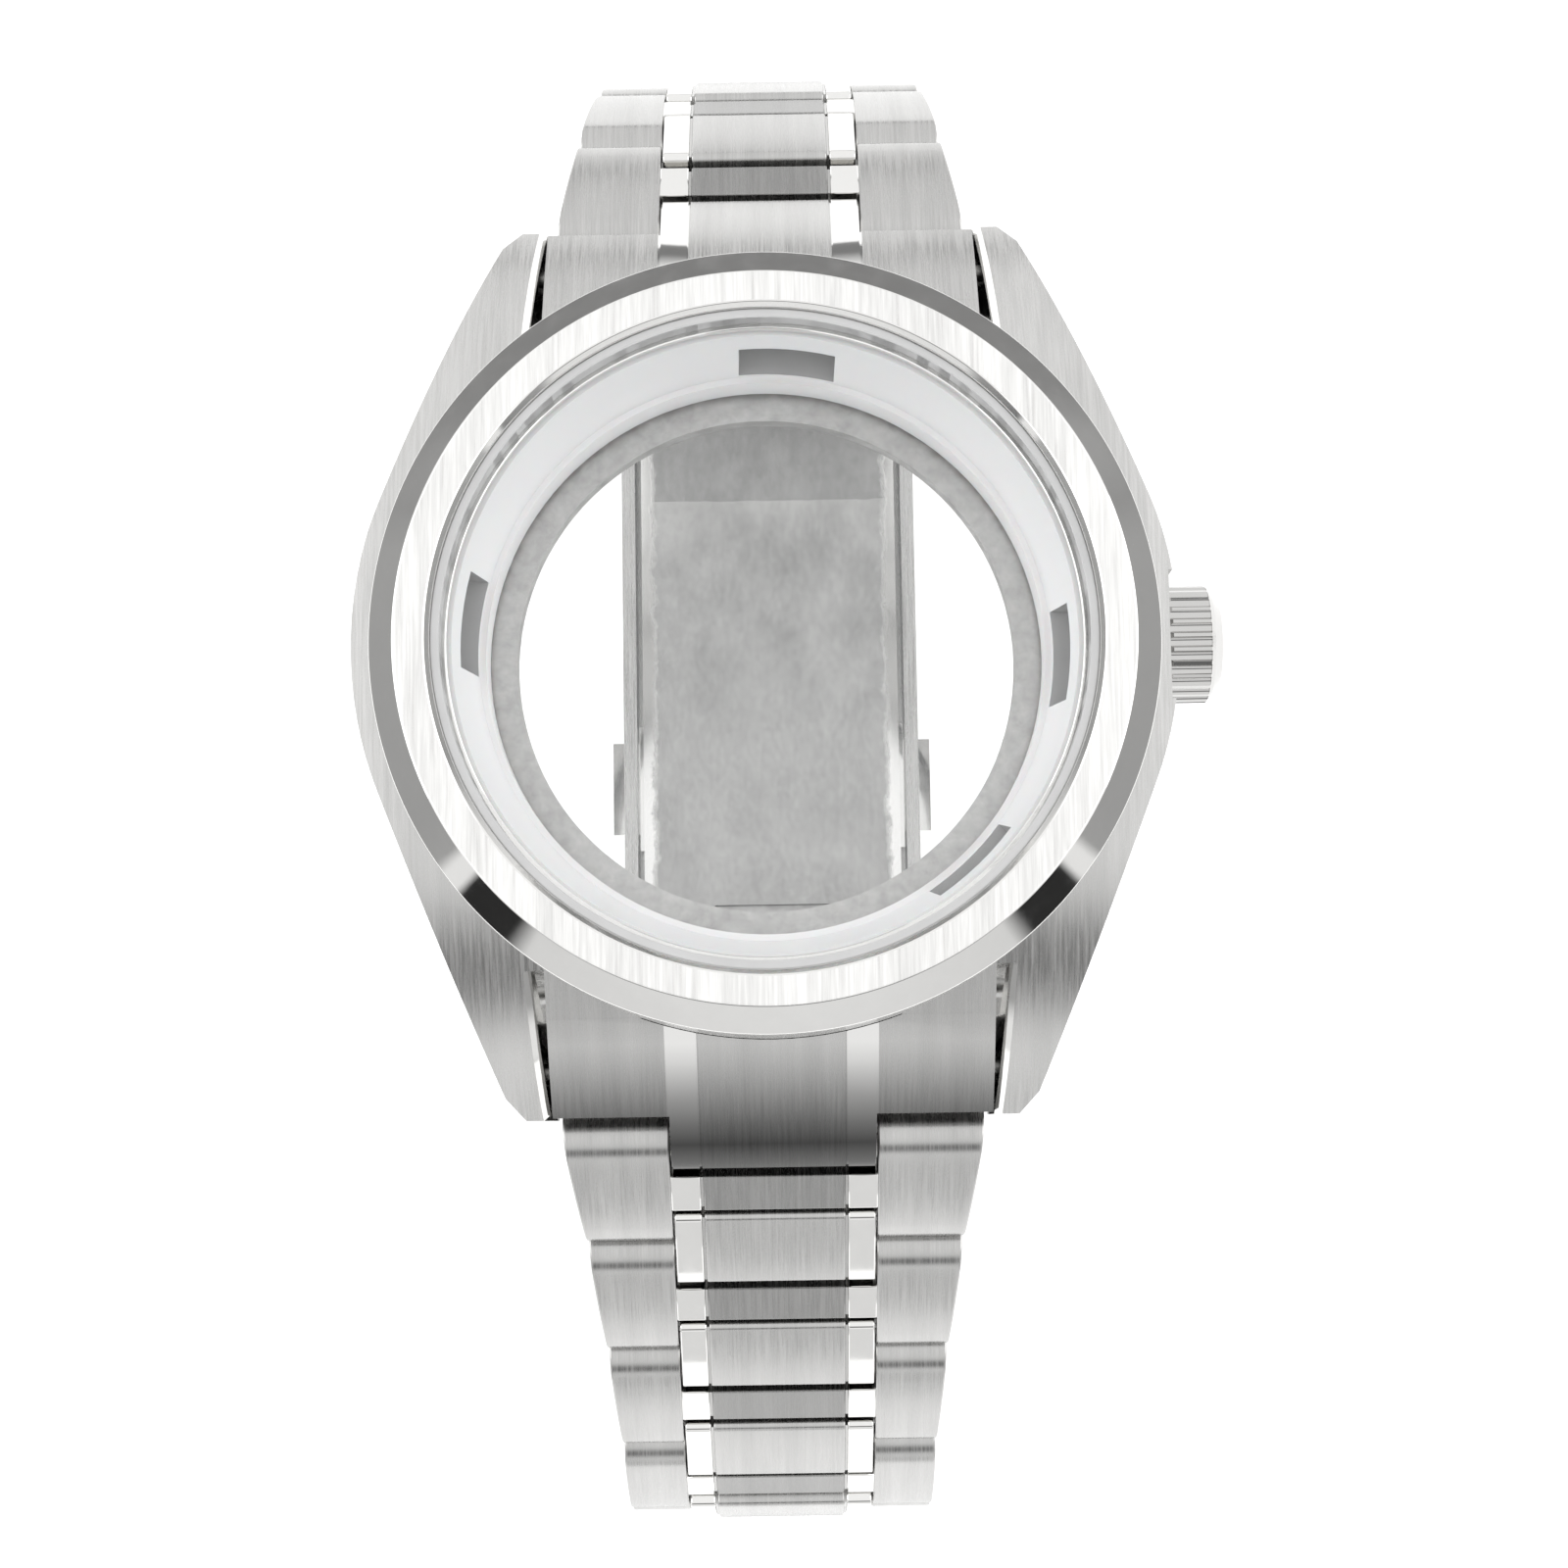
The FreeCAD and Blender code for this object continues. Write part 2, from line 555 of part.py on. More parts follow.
def make_case_rings():
    """The bezel, the crystal and its gasket, the movement holder and the gasket of the case back."""
    bore = crystal_radius + gasket_wall
    seat = crystal_radius - crystal_seat
    ring("bezel", [(seat, case_top), (wall_radius, case_top), (wall_radius, bezel_edge),
                   (ring_outer, bezel_top), (ring_inner, bezel_top), (bore, bezel_top - (ring_inner - bore)),
                   (bore, crystal_low), (seat, crystal_low)])
    ring("crystal", [(0, crystal_low), (crystal_radius, crystal_low),
                     (crystal_radius, crystal_high - crystal_bevel),
                     (crystal_radius - crystal_bevel, crystal_high), (0, crystal_high)])
    ring("crystal_gasket", rectangle(crystal_radius, bore, crystal_low, bezel_top - gasket_wall))
    holder_outer = holder_room - fit_gap * 2
    cone_foot = movement_radius + holder_ledge
    body = new_body("movement_holder")
    wall = [(movement_radius, -holder_half + seat_gap), (holder_outer, -holder_half + seat_gap),
            (holder_outer, holder_top), (holder_outer - holder_lip, holder_top),
            (cone_foot, holder_half), (movement_radius, holder_half)]
    spin(body, "Revolution", outline(body, "holder_profile", "XZ_Plane", wall), "Z_Axis")
    for mark, angle in (("12", slot_angle_12), ("9", slot_angle_9), ("3", slot_angle_3), ("5", slot_angle_5)):
        corners = rectangle(movement_radius - holder_ledge, holder_room + 1, -slot_width / 2, slot_width / 2)
        turned = [(x * cosine(angle) - y * sine(angle), x * sine(angle) + y * cosine(angle))
                  for x, y in corners]
        sketch = outline(body, "slot_" + mark, "XY_Plane", turned, (slot_low + slot_high) / 2)
        pocket(body, sketch, slot_high - slot_low)
    finish_node(body, "movement_holder")
    ring("case_back_gasket", rectangle(seal_inner, seal_inner + seal_wall,
                                       case_bottom + seat_gap, case_bottom + seal_height))


def make_case_back():
    """The screwed ring, its glass and the gasket round the glass."""
    flange_top = case_bottom - seat_gap
    flange_low = flange_top - flange_height
    spigot_top = case_bottom + spigot_height
    spigot_radius = back_opening - fit_gap
    glass_top = flange_low + glass_height - fit_gap
    glass_room = glass_radius + back_gasket_wall
    body = new_body("case_back_ring")
    profile = [(window_radius, glass_top), (glass_room, glass_top), (glass_room, flange_low),
               (flange_radius - flange_bevel, flange_low), (flange_radius, flange_low + flange_bevel),
               (flange_radius, flange_top), (spigot_radius, flange_top), (spigot_radius, spigot_top),
               (window_radius, spigot_top)]
    spin(body, "Revolution", outline(body, "back_profile", "XZ_Plane", profile), "Z_Axis")
    notch = circles(body, "key_notch", "XY_Plane", [(key_radius, 0, key_size)], flange_low)
    cut = pocket(body, notch, key_depth * 2)
    repeat_round(body, cut, key_count, "Z_Axis")
    finish_node(body, "case_back_ring")
    ring("back_glass", rectangle(0, glass_radius, flange_low - fit_gap, glass_top))
    ring("back_glass_gasket", rectangle(glass_radius, glass_room, flange_low, glass_top))


def make_crown():
    """The crown, its tube in the case and its ring seal, turned about the crown's own axis."""
    end = crown_start + crown_length
    post_radius = tube_bore - fit_gap
    cavity = tube_radius + fit_gap
    cavity_end = tube_end + fit_gap * 3
    seal_radius = cavity + crown_seal + fit_gap
    seal_start = crown_start + 0.3
    seal_end = seal_start + crown_seal + fit_gap * 2
    hole_end = end - 1
    edge = 0.2
    profile = [(cavity_end - post_length, stem_thread), (hole_end, stem_thread), (hole_end, 0), (end, 0),
               (end, crown_dome), (end - edge * 2, crown_radius - edge), (end - edge * 3, crown_radius),
               (crown_start + edge, crown_radius), (crown_start, crown_radius - edge), (crown_start, cavity),
               (seal_start, cavity), (seal_start, seal_radius), (seal_end, seal_radius), (seal_end, cavity),
               (cavity_end, cavity), (cavity_end, post_radius), (cavity_end - post_length, post_radius)]
    body = new_body("crown")
    spin(body, "Revolution", outline(body, "crown_profile", "XZ_Plane", profile), "X_Axis")
    flute = circles(body, "flute", "YZ_Plane", [(crown_radius + flute_radius / 3, 0, flute_radius)],
                    crown_start + flute_length / 2)
    cut = pocket(body, flute, flute_length + fit_gap)
    repeat_round(body, cut, flute_count, "X_Axis")
    finish_node(body, "crown")
    tube = new_body("crown_tube")
    inside = square_root(holder_room * holder_room - tube_radius * tube_radius)
    wall = rectangle(inside, tube_end, tube_bore, tube_radius)
    spin(tube, "Revolution", outline(tube, "tube_profile", "XZ_Plane", wall), "X_Axis")
    finish_node(tube, "crown_tube")
    seal = new_body("crown_gasket")
    wall = rectangle(seal_start + fit_gap, seal_end - fit_gap, cavity, cavity + crown_seal)
    spin(seal, "Revolution", outline(seal, "crown_seal_profile", "XZ_Plane", wall), "X_Axis")
    finish_node(seal, "crown_gasket")
    for piece in (body, tube, seal):
        piece.setExpression("Placement.Base.z", crown_height.formula)


def spring_bar(label, length, tip_out):
    """A spring bar along X: a thick tube with a thin tip at each end."""
    body = new_body(label)
    half = length / 2
    profile = [(-half - tip_out, 0), (half + tip_out, 0), (half + tip_out, bar_tip), (half, bar_tip),
               (half, bar_radius), (-half, bar_radius), (-half, bar_tip), (-half - tip_out, bar_tip)]
    spin(body, "Revolution", outline(body, label + "_profile", "XZ_Plane", profile), "X_Axis")
    return body


def make_lug_bars():
    """The two spring bars that hold the end links between the lugs, as one group."""
    bars = []
    for side, mark in ((1, "12"), (-1, "6")):
        bar = spring_bar("lug_bar_" + mark, lug_gap - end_link_gap * 4, bar_tip_length + end_link_gap)
        bar.setExpression("Placement.Base.y", (bar_out * side).formula)
        bar.setExpression("Placement.Base.z", bar_height.formula)
        bars.append(bar)
    group = doc.addObject("Part::Compound", "lug_spring_bars")
    group.Links = bars
    finish_node(group, "lug_spring_bars")


def make_end_link(label, turn):
    """The fixed link between the lugs, with the nose that carries the first pin."""
    body = new_body(label)
    arch = lug_arch - panel_sink
    back = wall_radius - 1
    nose_low = hinge_height - knuckle
    back_low = bar_height - bar_radius - knuckle / 2
    tip_y = hinge_out + knuckle * cosine(nose_slope)
    tip_z = hinge_height - knuckle * sine(nose_slope)
    nose = [(back, arch_at(back, arch)),
            (nose_end, arch_at(nose_end, arch), lug_arch_start, arch_centre, arch, "right"),
            (tip_y, tip_z),
            (hinge_out, nose_low, hinge_out, hinge_height, knuckle, "right"),
            (bar_out + bar_radius, nose_low), (back, back_low)]
    pad(body, outline(body, label + "_nose", "YZ_Plane", nose), centre_width - side_gap * 2)
    run = hinge_out - panel_end
    clear_high = hinge_height + square_root(panel_clear * panel_clear - run * run)
    panels = [(back, arch_at(back, arch)),
              (panel_end, arch_at(panel_end, arch), lug_arch_start, arch_centre, arch, "right"),
              (panel_end, clear_high),
              (hinge_out - panel_clear, hinge_height, hinge_out, hinge_height, panel_clear, "left"),
              (bar_out, hinge_height), (back, back_low)]
    pad(body, outline(body, label + "_panels", "YZ_Plane", panels), lug_gap - end_link_gap * 2)
    wall = circles(body, label + "_wall", "XY_Plane", [(0, 0, wall_radius + seat_gap)])
    pocket(body, wall, case_radius * 2)
    holes = circles(body, label + "_holes", "YZ_Plane", [(bar_out, bar_height, bar_radius + fit_gap)])
    pocket(body, holes, lug_gap)
    pin_room = circles(body, label + "_pin_room", "YZ_Plane",
                       [(hinge_out, hinge_height, pin_radius + fit_gap)])
    pocket(body, pin_room, lug_gap)
    deep = arch - groove_depth
    for place, mark in ((centre_width / 2 - strip_width, "strip"), (centre_width / 2 - side_gap, "side")):
        for hand, name in ((1, "right"), (-1, "left")):
            line = [(back, arch_at(back, deep)),
                    (nose_end + 1, arch_at(nose_end + 1, deep), lug_arch_start, arch_centre, deep, "right"),
                    (nose_end + 1, case_top), (back, case_top)]
            sketch = outline(body, "%s_%s_%s" % (label, mark, name), "YZ_Plane", line, place * hand)
            pocket(body, sketch, groove_width)
    body.Placement = FreeCAD.Placement(FreeCAD.Vector(), FreeCAD.Rotation(FreeCAD.Vector(0, 0, 1), turn))
    finish_node(body, label)


# The bracelet's links. Each is drawn with its near pin on its own X axis and its length along +Y.


def cross_pin(label, along, height, length):
    """A hinge pin along X."""
    body = new_body(label)
    pad(body, circles(body, label + "_round", "YZ_Plane", [(along, height, pin_radius)]), length)
    return body


def make_link(label, near_width, far_width, last_pin):
    """A link of two outer pieces joined by a short centre bar, with its two pins pressed in."""
    body = new_body(label + "_body")
    reach = (pitch - link_gap - bar_span) / 2
    start = -reach
    end = bar_span + reach
    plan = [(near_width / 2, start), (far_width / 2, end), (-far_width / 2, end), (-near_width / 2, start)]
    pad(body, outline(body, label + "_plan", "XY_Plane", plan, (link_top - knuckle) / 2), link_top + knuckle)
    round_edges(body, label + "_knuckle", knuckle_fillet,
                lambda middle, edge: along_x(edge) and middle.z < 0)
    round_edges(body, label + "_shoulder", shoulder_fillet,
                lambda middle, edge: along_x(edge) and middle.z > float(link_top) - 0.01
                and min(abs(middle.y - float(start)), abs(middle.y - float(end))) < 0.01)
    half = centre_width / 2
    bar_start = (bar_span - short_bar) / 2
    bar_stop = (bar_span + short_bar) / 2
    for mark, low, high in (("near", start - 1, bar_start), ("far", bar_stop, end + 1)):
        slot = rectangle(-half, half, low, high)
        pocket(body, outline(body, label + "_slot_" + mark, "XY_Plane", slot), pitch)
    far_hole = pin_radius if last_pin else bar_tip + fit_gap
    holes = circles(body, label + "_holes", "YZ_Plane", [(0, 0, pin_radius), (bar_span, 0, far_hole)])
    pocket(body, holes, far_width - pin_inset * 2)
    for hand, name in ((1, "right"), (-1, "left")):
        place = (half - strip_width) * hand
        line = rectangle(place - groove_width / 2, place + groove_width / 2, bar_start - 0.1, bar_stop + 0.1)
        sketch = outline(body, "%s_line_%s" % (label, name), "XY_Plane", line, link_top)
        pocket(body, sketch, groove_depth * 2)
    pieces = [body, cross_pin(label + "_pin_1", 0, 0, far_width - pin_inset * 2)]
    if last_pin:
        pieces.append(cross_pin(label + "_pin_2", bar_span, 0, far_width - pin_inset * 2))
    group = doc.addObject("Part::Compound", label)
    group.Links = pieces
    return finish_node(group, label)


def make_centre(label):
    """A long centre link with its two polished strips, which turns on a pin at each end."""
    body = new_body(label)
    span = pitch - bar_span
    wide = centre_width - side_gap * 2
    side = rectangle(-centre_reach, span + centre_reach, -knuckle, link_top)
    pad(body, outline(body, label + "_side", "YZ_Plane", side), wide)
    round_edges(body, label + "_knuckle", knuckle_fillet,
                lambda middle, edge: along_x(edge) and middle.z < 0)
    round_edges(body, label + "_edge", centre_fillet,
                lambda middle, edge: along_x(edge) and middle.z > float(link_top) - 0.01
                and min(abs(middle.y + float(centre_reach)),
                        abs(middle.y - float(span + centre_reach))) < 0.01)
    hole = pin_radius + fit_gap
    pocket(body, circles(body, label + "_holes", "YZ_Plane", [(0, 0, hole), (span, 0, hole)]), wide * 2)
    for hand, name in ((1, "right"), (-1, "left")):
        place = (centre_width / 2 - strip_width) * hand
        line = rectangle(place - groove_width / 2, place + groove_width / 2, -pitch, pitch)
        sketch = outline(body, "%s_line_%s" % (label, name), "XY_Plane", line, link_top)
        pocket(body, sketch, groove_depth * 2)
    return finish_node(body, label)


# The closed loop: where each link lies, from the slopes of one half of the bracelet


def walk(slopes):
    """Pins of one half as (distance from the centre, height), from the end link to the clasp."""
    place = (float(hinge_out), float(hinge_height))
    pins = [place]
    for index, slope in enumerate(slopes):
        length = float(bar_span) if index % 2 == 0 else float(pitch - bar_span)
        place = (place[0] + length * math.cos(math.radians(slope)),
                 place[1] - length * math.sin(math.radians(slope)))
        pins.append(place)
    return pins


def even_slopes(turn):
    """Slopes of the 12 o'clock half, which turns by the same angle at every pin."""
    return [float(slope_12) + turn * index for index in range(2 * links_12 - 1)]


def bent_slopes(middle, spread):
    """Slopes of the 6 o'clock half: straight at first, then a bend, then nearly flat on the table."""
    rise = float(slope_end) - float(slope_6)
    return [float(slope_6) + rise / (1 + math.exp((middle - index) / spread))
            for index in range(2 * links_6 - 1)]


def solve_12():
    """The even turn that brings the last pin of the 12 o'clock half down to the clasp."""
    low, high = 8.0, 14.0
    best = min((low + (high - low) * step / 400 for step in range(401)),
               key=lambda turn: abs(walk(even_slopes(turn))[-1][1] - float(clasp_depth)))
    step = (high - low) / 400
    for _ in range(50):
        step = step / 2
        best = min((best - step, best, best + step),
                   key=lambda turn: abs(walk(even_slopes(turn))[-1][1] - float(clasp_depth)))
    return even_slopes(best)


def solve_6(target):
    """The bend that brings the last pin of the 6 o'clock half to the clasp's other end."""

    def miss(middle, spread):
        last = walk(bent_slopes(middle, spread))[-1]
        return last[0] - target[0], last[1] - target[1]

    middle, spread = 8.5, 1.3
    nudge = 1e-4
    for _ in range(30):
        off = miss(middle, spread)
        by_middle = miss(middle + nudge, spread)
        by_spread = miss(middle, spread + nudge)
        a = (by_middle[0] - off[0]) / nudge
        b = (by_spread[0] - off[0]) / nudge
        c = (by_middle[1] - off[1]) / nudge
        d = (by_spread[1] - off[1]) / nudge
        scale = a * d - b * c
        middle += (b * off[1] - d * off[0]) / scale
        spread += (c * off[0] - a * off[1]) / scale
    return bent_slopes(middle, spread)


def chain_placement(pin, slope, side):
    """Place of a link whose near pin is at pin, on the side towards 12 (1) or 6 (-1)."""
    lean = FreeCAD.Placement(FreeCAD.Vector(0, pin[0], pin[1]),
                             FreeCAD.Rotation(FreeCAD.Vector(1, 0, 0), -slope))
    if side > 0:
        return lean
    return FreeCAD.Placement(FreeCAD.Vector(), FreeCAD.Rotation(FreeCAD.Vector(0, 0, 1), 180)).multiply(lean)


def make_half(mark, side, slopes, link_count):
    """All links of one half, each placed on its pins."""
    widths = [width_start, width_first, width_second] + [width_end] * link_count
    pins = walk(slopes)
    for number in range(link_count):
        label = "link_%s_%d" % (mark, number + 1)
        last = number + 1 == link_count
        link = make_link(label, widths[number], widths[number + 1], not last)
        link.Placement = chain_placement(pins[2 * number], slopes[2 * number], side)
        if last:
            continue
        centre = make_centre("centre_%s_%d" % (mark, number + 1))
        centre.Placement = chain_placement(pins[2 * number + 1], slopes[2 * number + 1], side)


# The clasp. It is drawn with the 12 o'clock bar on its own X axis, its length along +Y and the
# side away from the wrist up, and then laid at the bottom of the loop.


def clasp_node(piece, label, place):
    """Lay a piece of the clasp in the loop."""
    piece.Placement = place.multiply(piece.Placement)
    return finish_node(piece, label)


def make_cover(place):
    """The outer channel with its side walls and the tongue that holds the 6 o'clock bar."""
    body = new_body("clasp_cover")
    start = cover_inset
    end = clasp_span - cover_inset
    outer = rectangle(start, end, cover_rim, cover_outside)
    pad(body, outline(body, "cover_side", "YZ_Plane", outer), cover_width)
    inner = rectangle(start - cover_wall, end + cover_wall, cover_rim - cover_wall, cover_floor)
    pocket(body, outline(body, "cover_channel", "YZ_Plane", inner), cover_width - cover_wall * 2)
    round_edges(body, "cover_rounding", cover_wall / 2,
                lambda middle, edge: middle.z > float(cover_outside) - 0.01)
    arm_start = end - cover_inset
    arm_outside = cover_outside - cover_wall * 0.4
    arm = [(arm_start, cover_floor), (end - cover_wall / 2, cover_floor),
           (clasp_span - knuckle * 0.7, -knuckle * 0.7), (clasp_span + knuckle * 0.4, 0),
           (clasp_span + knuckle * 0.45, knuckle * 0.85), (end + cover_wall / 4, arm_outside),
           (arm_start, arm_outside)]
    pad(body, outline(body, "cover_arm", "YZ_Plane", arm), tongue_width)
    roll = circles(body, "cover_roll", "YZ_Plane", [(clasp_span, 0, knuckle)])
    pad(body, roll, tongue_width)
    hole = circles(body, "cover_bar_hole", "YZ_Plane", [(clasp_span, 0, bar_radius + seat_gap)])
    pocket(body, hole, cover_width)
    pin_hole = circles(body, "cover_pin_hole", "YZ_Plane", [(cover_hinge, cover_hinge_height, pin_radius)])
    pocket(body, pin_hole, cover_width - pin_inset)
    reach = button_length / 2 + fit_gap
    window = rectangle(button_place - reach, button_place + reach,
                       button_low - fit_gap, button_high + fit_gap)
    pocket(body, outline(body, "button_window", "YZ_Plane", window), cover_width * 2)
    clasp_node(body, "clasp_cover", place)
    pin = cross_pin("clasp_cover_pin", cover_hinge, cover_hinge_height, cover_width - pin_inset)
    clasp_node(pin, "clasp_cover_pin", place)


def make_middle_blade(place):
    """The blade between the cover and the inner blade, with the catch stud."""
    body = new_body("clasp_middle_blade")
    plate = rectangle(cover_hinge, blade_hinge, middle_low, middle_high)
    pad(body, outline(body, "middle_plate", "YZ_Plane", plate), middle_width)
    barrel = circles(body, "middle_cover_barrel", "YZ_Plane",
                     [(cover_hinge, cover_hinge_height, barrel_radius)])
    pad(body, barrel, middle_width)
    clear = circles(body, "middle_clear", "YZ_Plane",
                    [(blade_hinge, blade_hinge_height, barrel_radius + barrel_gap)])
    pocket(body, clear, middle_width * 2)
    knuckle_pad = circles(body, "middle_blade_barrel", "YZ_Plane",
                          [(blade_hinge, blade_hinge_height, barrel_radius)])
    pad(body, knuckle_pad, barrel_width - barrel_gap * 2)
    bridge = rectangle(blade_hinge - barrel_radius * 2, blade_hinge,
                       middle_low, middle_low + barrel_radius / 2)
    pad(body, outline(body, "middle_bridge", "YZ_Plane", bridge), barrel_width - barrel_gap * 2)
    holes = circles(body, "middle_holes", "YZ_Plane",
                    [(cover_hinge, cover_hinge_height, pin_radius + fit_gap),
                     (blade_hinge, blade_hinge_height, pin_radius + fit_gap)])
    pocket(body, holes, middle_width * 2)
    stud = circles(body, "stud", "XY_Plane", [(0, button_place, stud_radius)],
                   (middle_high + cover_floor) / 2)
    pad(body, stud, cover_floor - middle_high - fit_gap * 2)
    join = circles(body, "stud_foot", "XY_Plane", [(0, button_place, stud_radius)], middle_high)
    pad(body, join, fit_gap * 4)
    clasp_node(body, "clasp_middle_blade", place)


def make_inner_blade(place):
    """The blade on the wrist side, with the rolled end that holds the 12 o'clock bar."""
    body = new_body("clasp_inner_blade")
    wide = rectangle(neck_length, blade_hinge, -knuckle, -knuckle + blade_plate)
    pad(body, outline(body, "inner_plate", "YZ_Plane", wide), blade_width)
    neck = rectangle(0, neck_length + 1, -knuckle, -knuckle + blade_plate)
    pad(body, outline(body, "inner_neck", "YZ_Plane", neck), tongue_width)
    roll = circles(body, "inner_roll", "YZ_Plane", [(0, 0, knuckle)])
    pad(body, roll, tongue_width)
    barrel = circles(body, "inner_barrel", "YZ_Plane", [(blade_hinge, blade_hinge_height, barrel_radius)])
    pad(body, barrel, blade_width)
    gap = circles(body, "inner_barrel_gap", "YZ_Plane",
                  [(blade_hinge, blade_hinge_height, barrel_radius + barrel_gap)])
    pocket(body, gap, barrel_width)
    bar_hole = circles(body, "inner_bar_hole", "YZ_Plane", [(0, 0, bar_radius + seat_gap)])
    pocket(body, bar_hole, blade_width)
    pin_hole = circles(body, "inner_pin_hole", "YZ_Plane", [(blade_hinge, blade_hinge_height, pin_radius)])
    pocket(body, pin_hole, blade_width * 2)
    clasp_node(body, "clasp_inner_blade", place)
    pin = cross_pin("clasp_blade_pin", blade_hinge, blade_hinge_height, blade_width - pin_inset)
    clasp_node(pin, "clasp_blade_pin", place)


def make_buttons(place):
    """The two push buttons and the flat spring whose two arms press them apart."""
    for hand, label in ((1, "clasp_button_right"), (-1, "clasp_button_left")):
        body = new_body(label)
        inside = cover_width / 2 - cover_wall - fit_gap
        outside = cover_width / 2 + button_proud
        inner_end = stud_radius + hook_gap
        near = button_place - button_length / 2
        far = button_place + button_length / 2
        flange = button_flange / 2
        plan = [(outside, near), (outside, far), (inside, far), (inside, far + flange),
                (inside - button_lip, far + flange), (inside - button_lip, far), (inner_end, far),
                (inner_end, near), (inside - button_lip, near), (inside - button_lip, near - flange),
                (inside, near - flange), (inside, near)]
        plan = [(x * hand, y) for x, y in plan]
        height = (button_low + button_high) / 2
        pad(body, outline(body, label + "_plan", "XY_Plane", plan, height), button_high - button_low)
        clasp_node(body, label, place)
    spring = new_body("clasp_button_spring")
    foot = button_place - button_length / 2 - spring_length
    tip = button_place - button_length / 2 - fit_gap * 4
    arm = cover_width / 2 - cover_wall - button_lip - button_travel - fit_gap * 3
    bend = [(arm, foot), (arm, tip), (arm - spring_leaf, tip), (arm - spring_leaf, foot + spring_leaf),
            (-arm + spring_leaf, foot + spring_leaf), (-arm + spring_leaf, tip), (-arm, tip), (-arm, foot)]
    height = (button_low + button_high) / 2
    pad(spring, outline(spring, "spring_plan", "XY_Plane", bend, height), button_high - button_low - 0.3)
    block = rectangle(-arm / 3, arm / 3, foot, foot + spring_leaf * 2)
    block_height = cover_floor - height
    sketch = outline(spring, "spring_foot", "XY_Plane", block, height + block_height / 2)
    pad(spring, sketch, block_height)
    clasp_node(spring, "clasp_button_spring", place)


def make_clasp():
    """All pieces of the clasp, laid level under the last pin of the 12 o'clock half."""
    slopes = solve_12()
    last = walk(slopes)[-1]
    level = chain_placement(last, 180.0, 1)
    make_cover(level)
    make_middle_blade(level)
    make_inner_blade(level)
    make_buttons(level)
    bar = spring_bar("clasp_bar_12", tongue_width, bar_tip_length)
    clasp_node(bar, "clasp_bar_12", level)
    drawn_in = spring_bar("clasp_bar_6", tongue_width - bar_tip_length, bar_tip_length / 2 - fit_gap)
    drawn_in.Placement.Base = FreeCAD.Vector(0, float(clasp_span), 0)
    clasp_node(drawn_in, "clasp_bar_6", level)
    target = (float(clasp_span) - last[0], last[1])
    return slopes, solve_6(target)


def check_and_write():
    """Stop on any failed feature or empty cut, then write every piece to its own file."""
    for thing in doc.Objects:
        if "Invalid" in thing.State or "Error" in thing.State:
            raise RuntimeError("%s did not build: %s" % (thing.Name, thing.State))
        if thing.TypeId in ("PartDesign::Pocket", "PartDesign::Groove"):
            if thing.Shape.Volume > thing.BaseFeature.Shape.Volume - 1e-6:
                raise RuntimeError("%s cuts nothing" % thing.Name)
    os.makedirs("parts", exist_ok=True)
    for label, thing in node_objects:
        shape = thing.Shape
        if shape.isNull() or not shape.isValid() or not shape.Solids:
            raise RuntimeError("%s has no valid solid" % label)
    for label, thing in node_objects:
        thing.Shape.exportStep("parts/%s.step" % label)
    print("%d pieces written" % len(node_objects))


make_mid_case()
make_case_rings()
make_case_back()
make_crown()
make_lug_bars()
make_end_link("end_link_12", 0)
make_end_link("end_link_6", 180)
slopes_12, slopes_6 = make_clasp()
make_half("12", 1, slopes_12, links_12)
make_half("6", -1, slopes_6, links_6)
doc.recompute()
check_and_write()
for mark, half_slopes in (("12", slopes_12), ("6", slopes_6)):
    print("pins", mark, [(round(y, 3), round(z, 3)) for y, z in walk(half_slopes)])
    print("slopes", mark, [round(slope, 2) for slope in half_slopes])
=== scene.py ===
import json
import logging
import math
from dataclasses import dataclass, field
from enum import Enum
from typing import Callable, Iterable, Sequence

import bmesh
import bpy
from mathutils import Matrix, Vector


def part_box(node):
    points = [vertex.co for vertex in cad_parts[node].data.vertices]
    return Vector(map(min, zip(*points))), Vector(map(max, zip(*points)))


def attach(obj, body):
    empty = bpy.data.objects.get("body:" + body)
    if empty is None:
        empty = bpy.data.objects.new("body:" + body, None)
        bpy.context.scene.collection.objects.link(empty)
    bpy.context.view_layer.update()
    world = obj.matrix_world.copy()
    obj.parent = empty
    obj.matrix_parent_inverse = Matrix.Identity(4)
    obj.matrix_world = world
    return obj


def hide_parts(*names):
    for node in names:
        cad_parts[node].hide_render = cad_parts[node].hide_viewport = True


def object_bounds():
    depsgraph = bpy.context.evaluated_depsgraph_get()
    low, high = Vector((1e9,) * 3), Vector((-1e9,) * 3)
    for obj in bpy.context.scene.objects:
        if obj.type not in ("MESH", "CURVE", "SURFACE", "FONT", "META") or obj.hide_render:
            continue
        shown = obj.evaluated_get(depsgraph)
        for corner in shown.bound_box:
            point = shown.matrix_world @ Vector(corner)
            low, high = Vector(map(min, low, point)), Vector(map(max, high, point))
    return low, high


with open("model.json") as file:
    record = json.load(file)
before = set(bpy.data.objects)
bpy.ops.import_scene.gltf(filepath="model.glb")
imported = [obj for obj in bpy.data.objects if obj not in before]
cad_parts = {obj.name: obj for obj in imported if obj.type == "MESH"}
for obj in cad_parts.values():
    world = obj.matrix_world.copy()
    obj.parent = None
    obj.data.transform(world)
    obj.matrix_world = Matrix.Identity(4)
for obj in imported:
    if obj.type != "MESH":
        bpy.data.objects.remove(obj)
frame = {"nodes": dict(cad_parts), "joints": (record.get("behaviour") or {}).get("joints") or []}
CAD_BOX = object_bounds()

LOG = logging.getLogger("watch_case")
MM = 0.001
FLOOR_GAP = 0.00002
MERGE_GAP = 1e-7
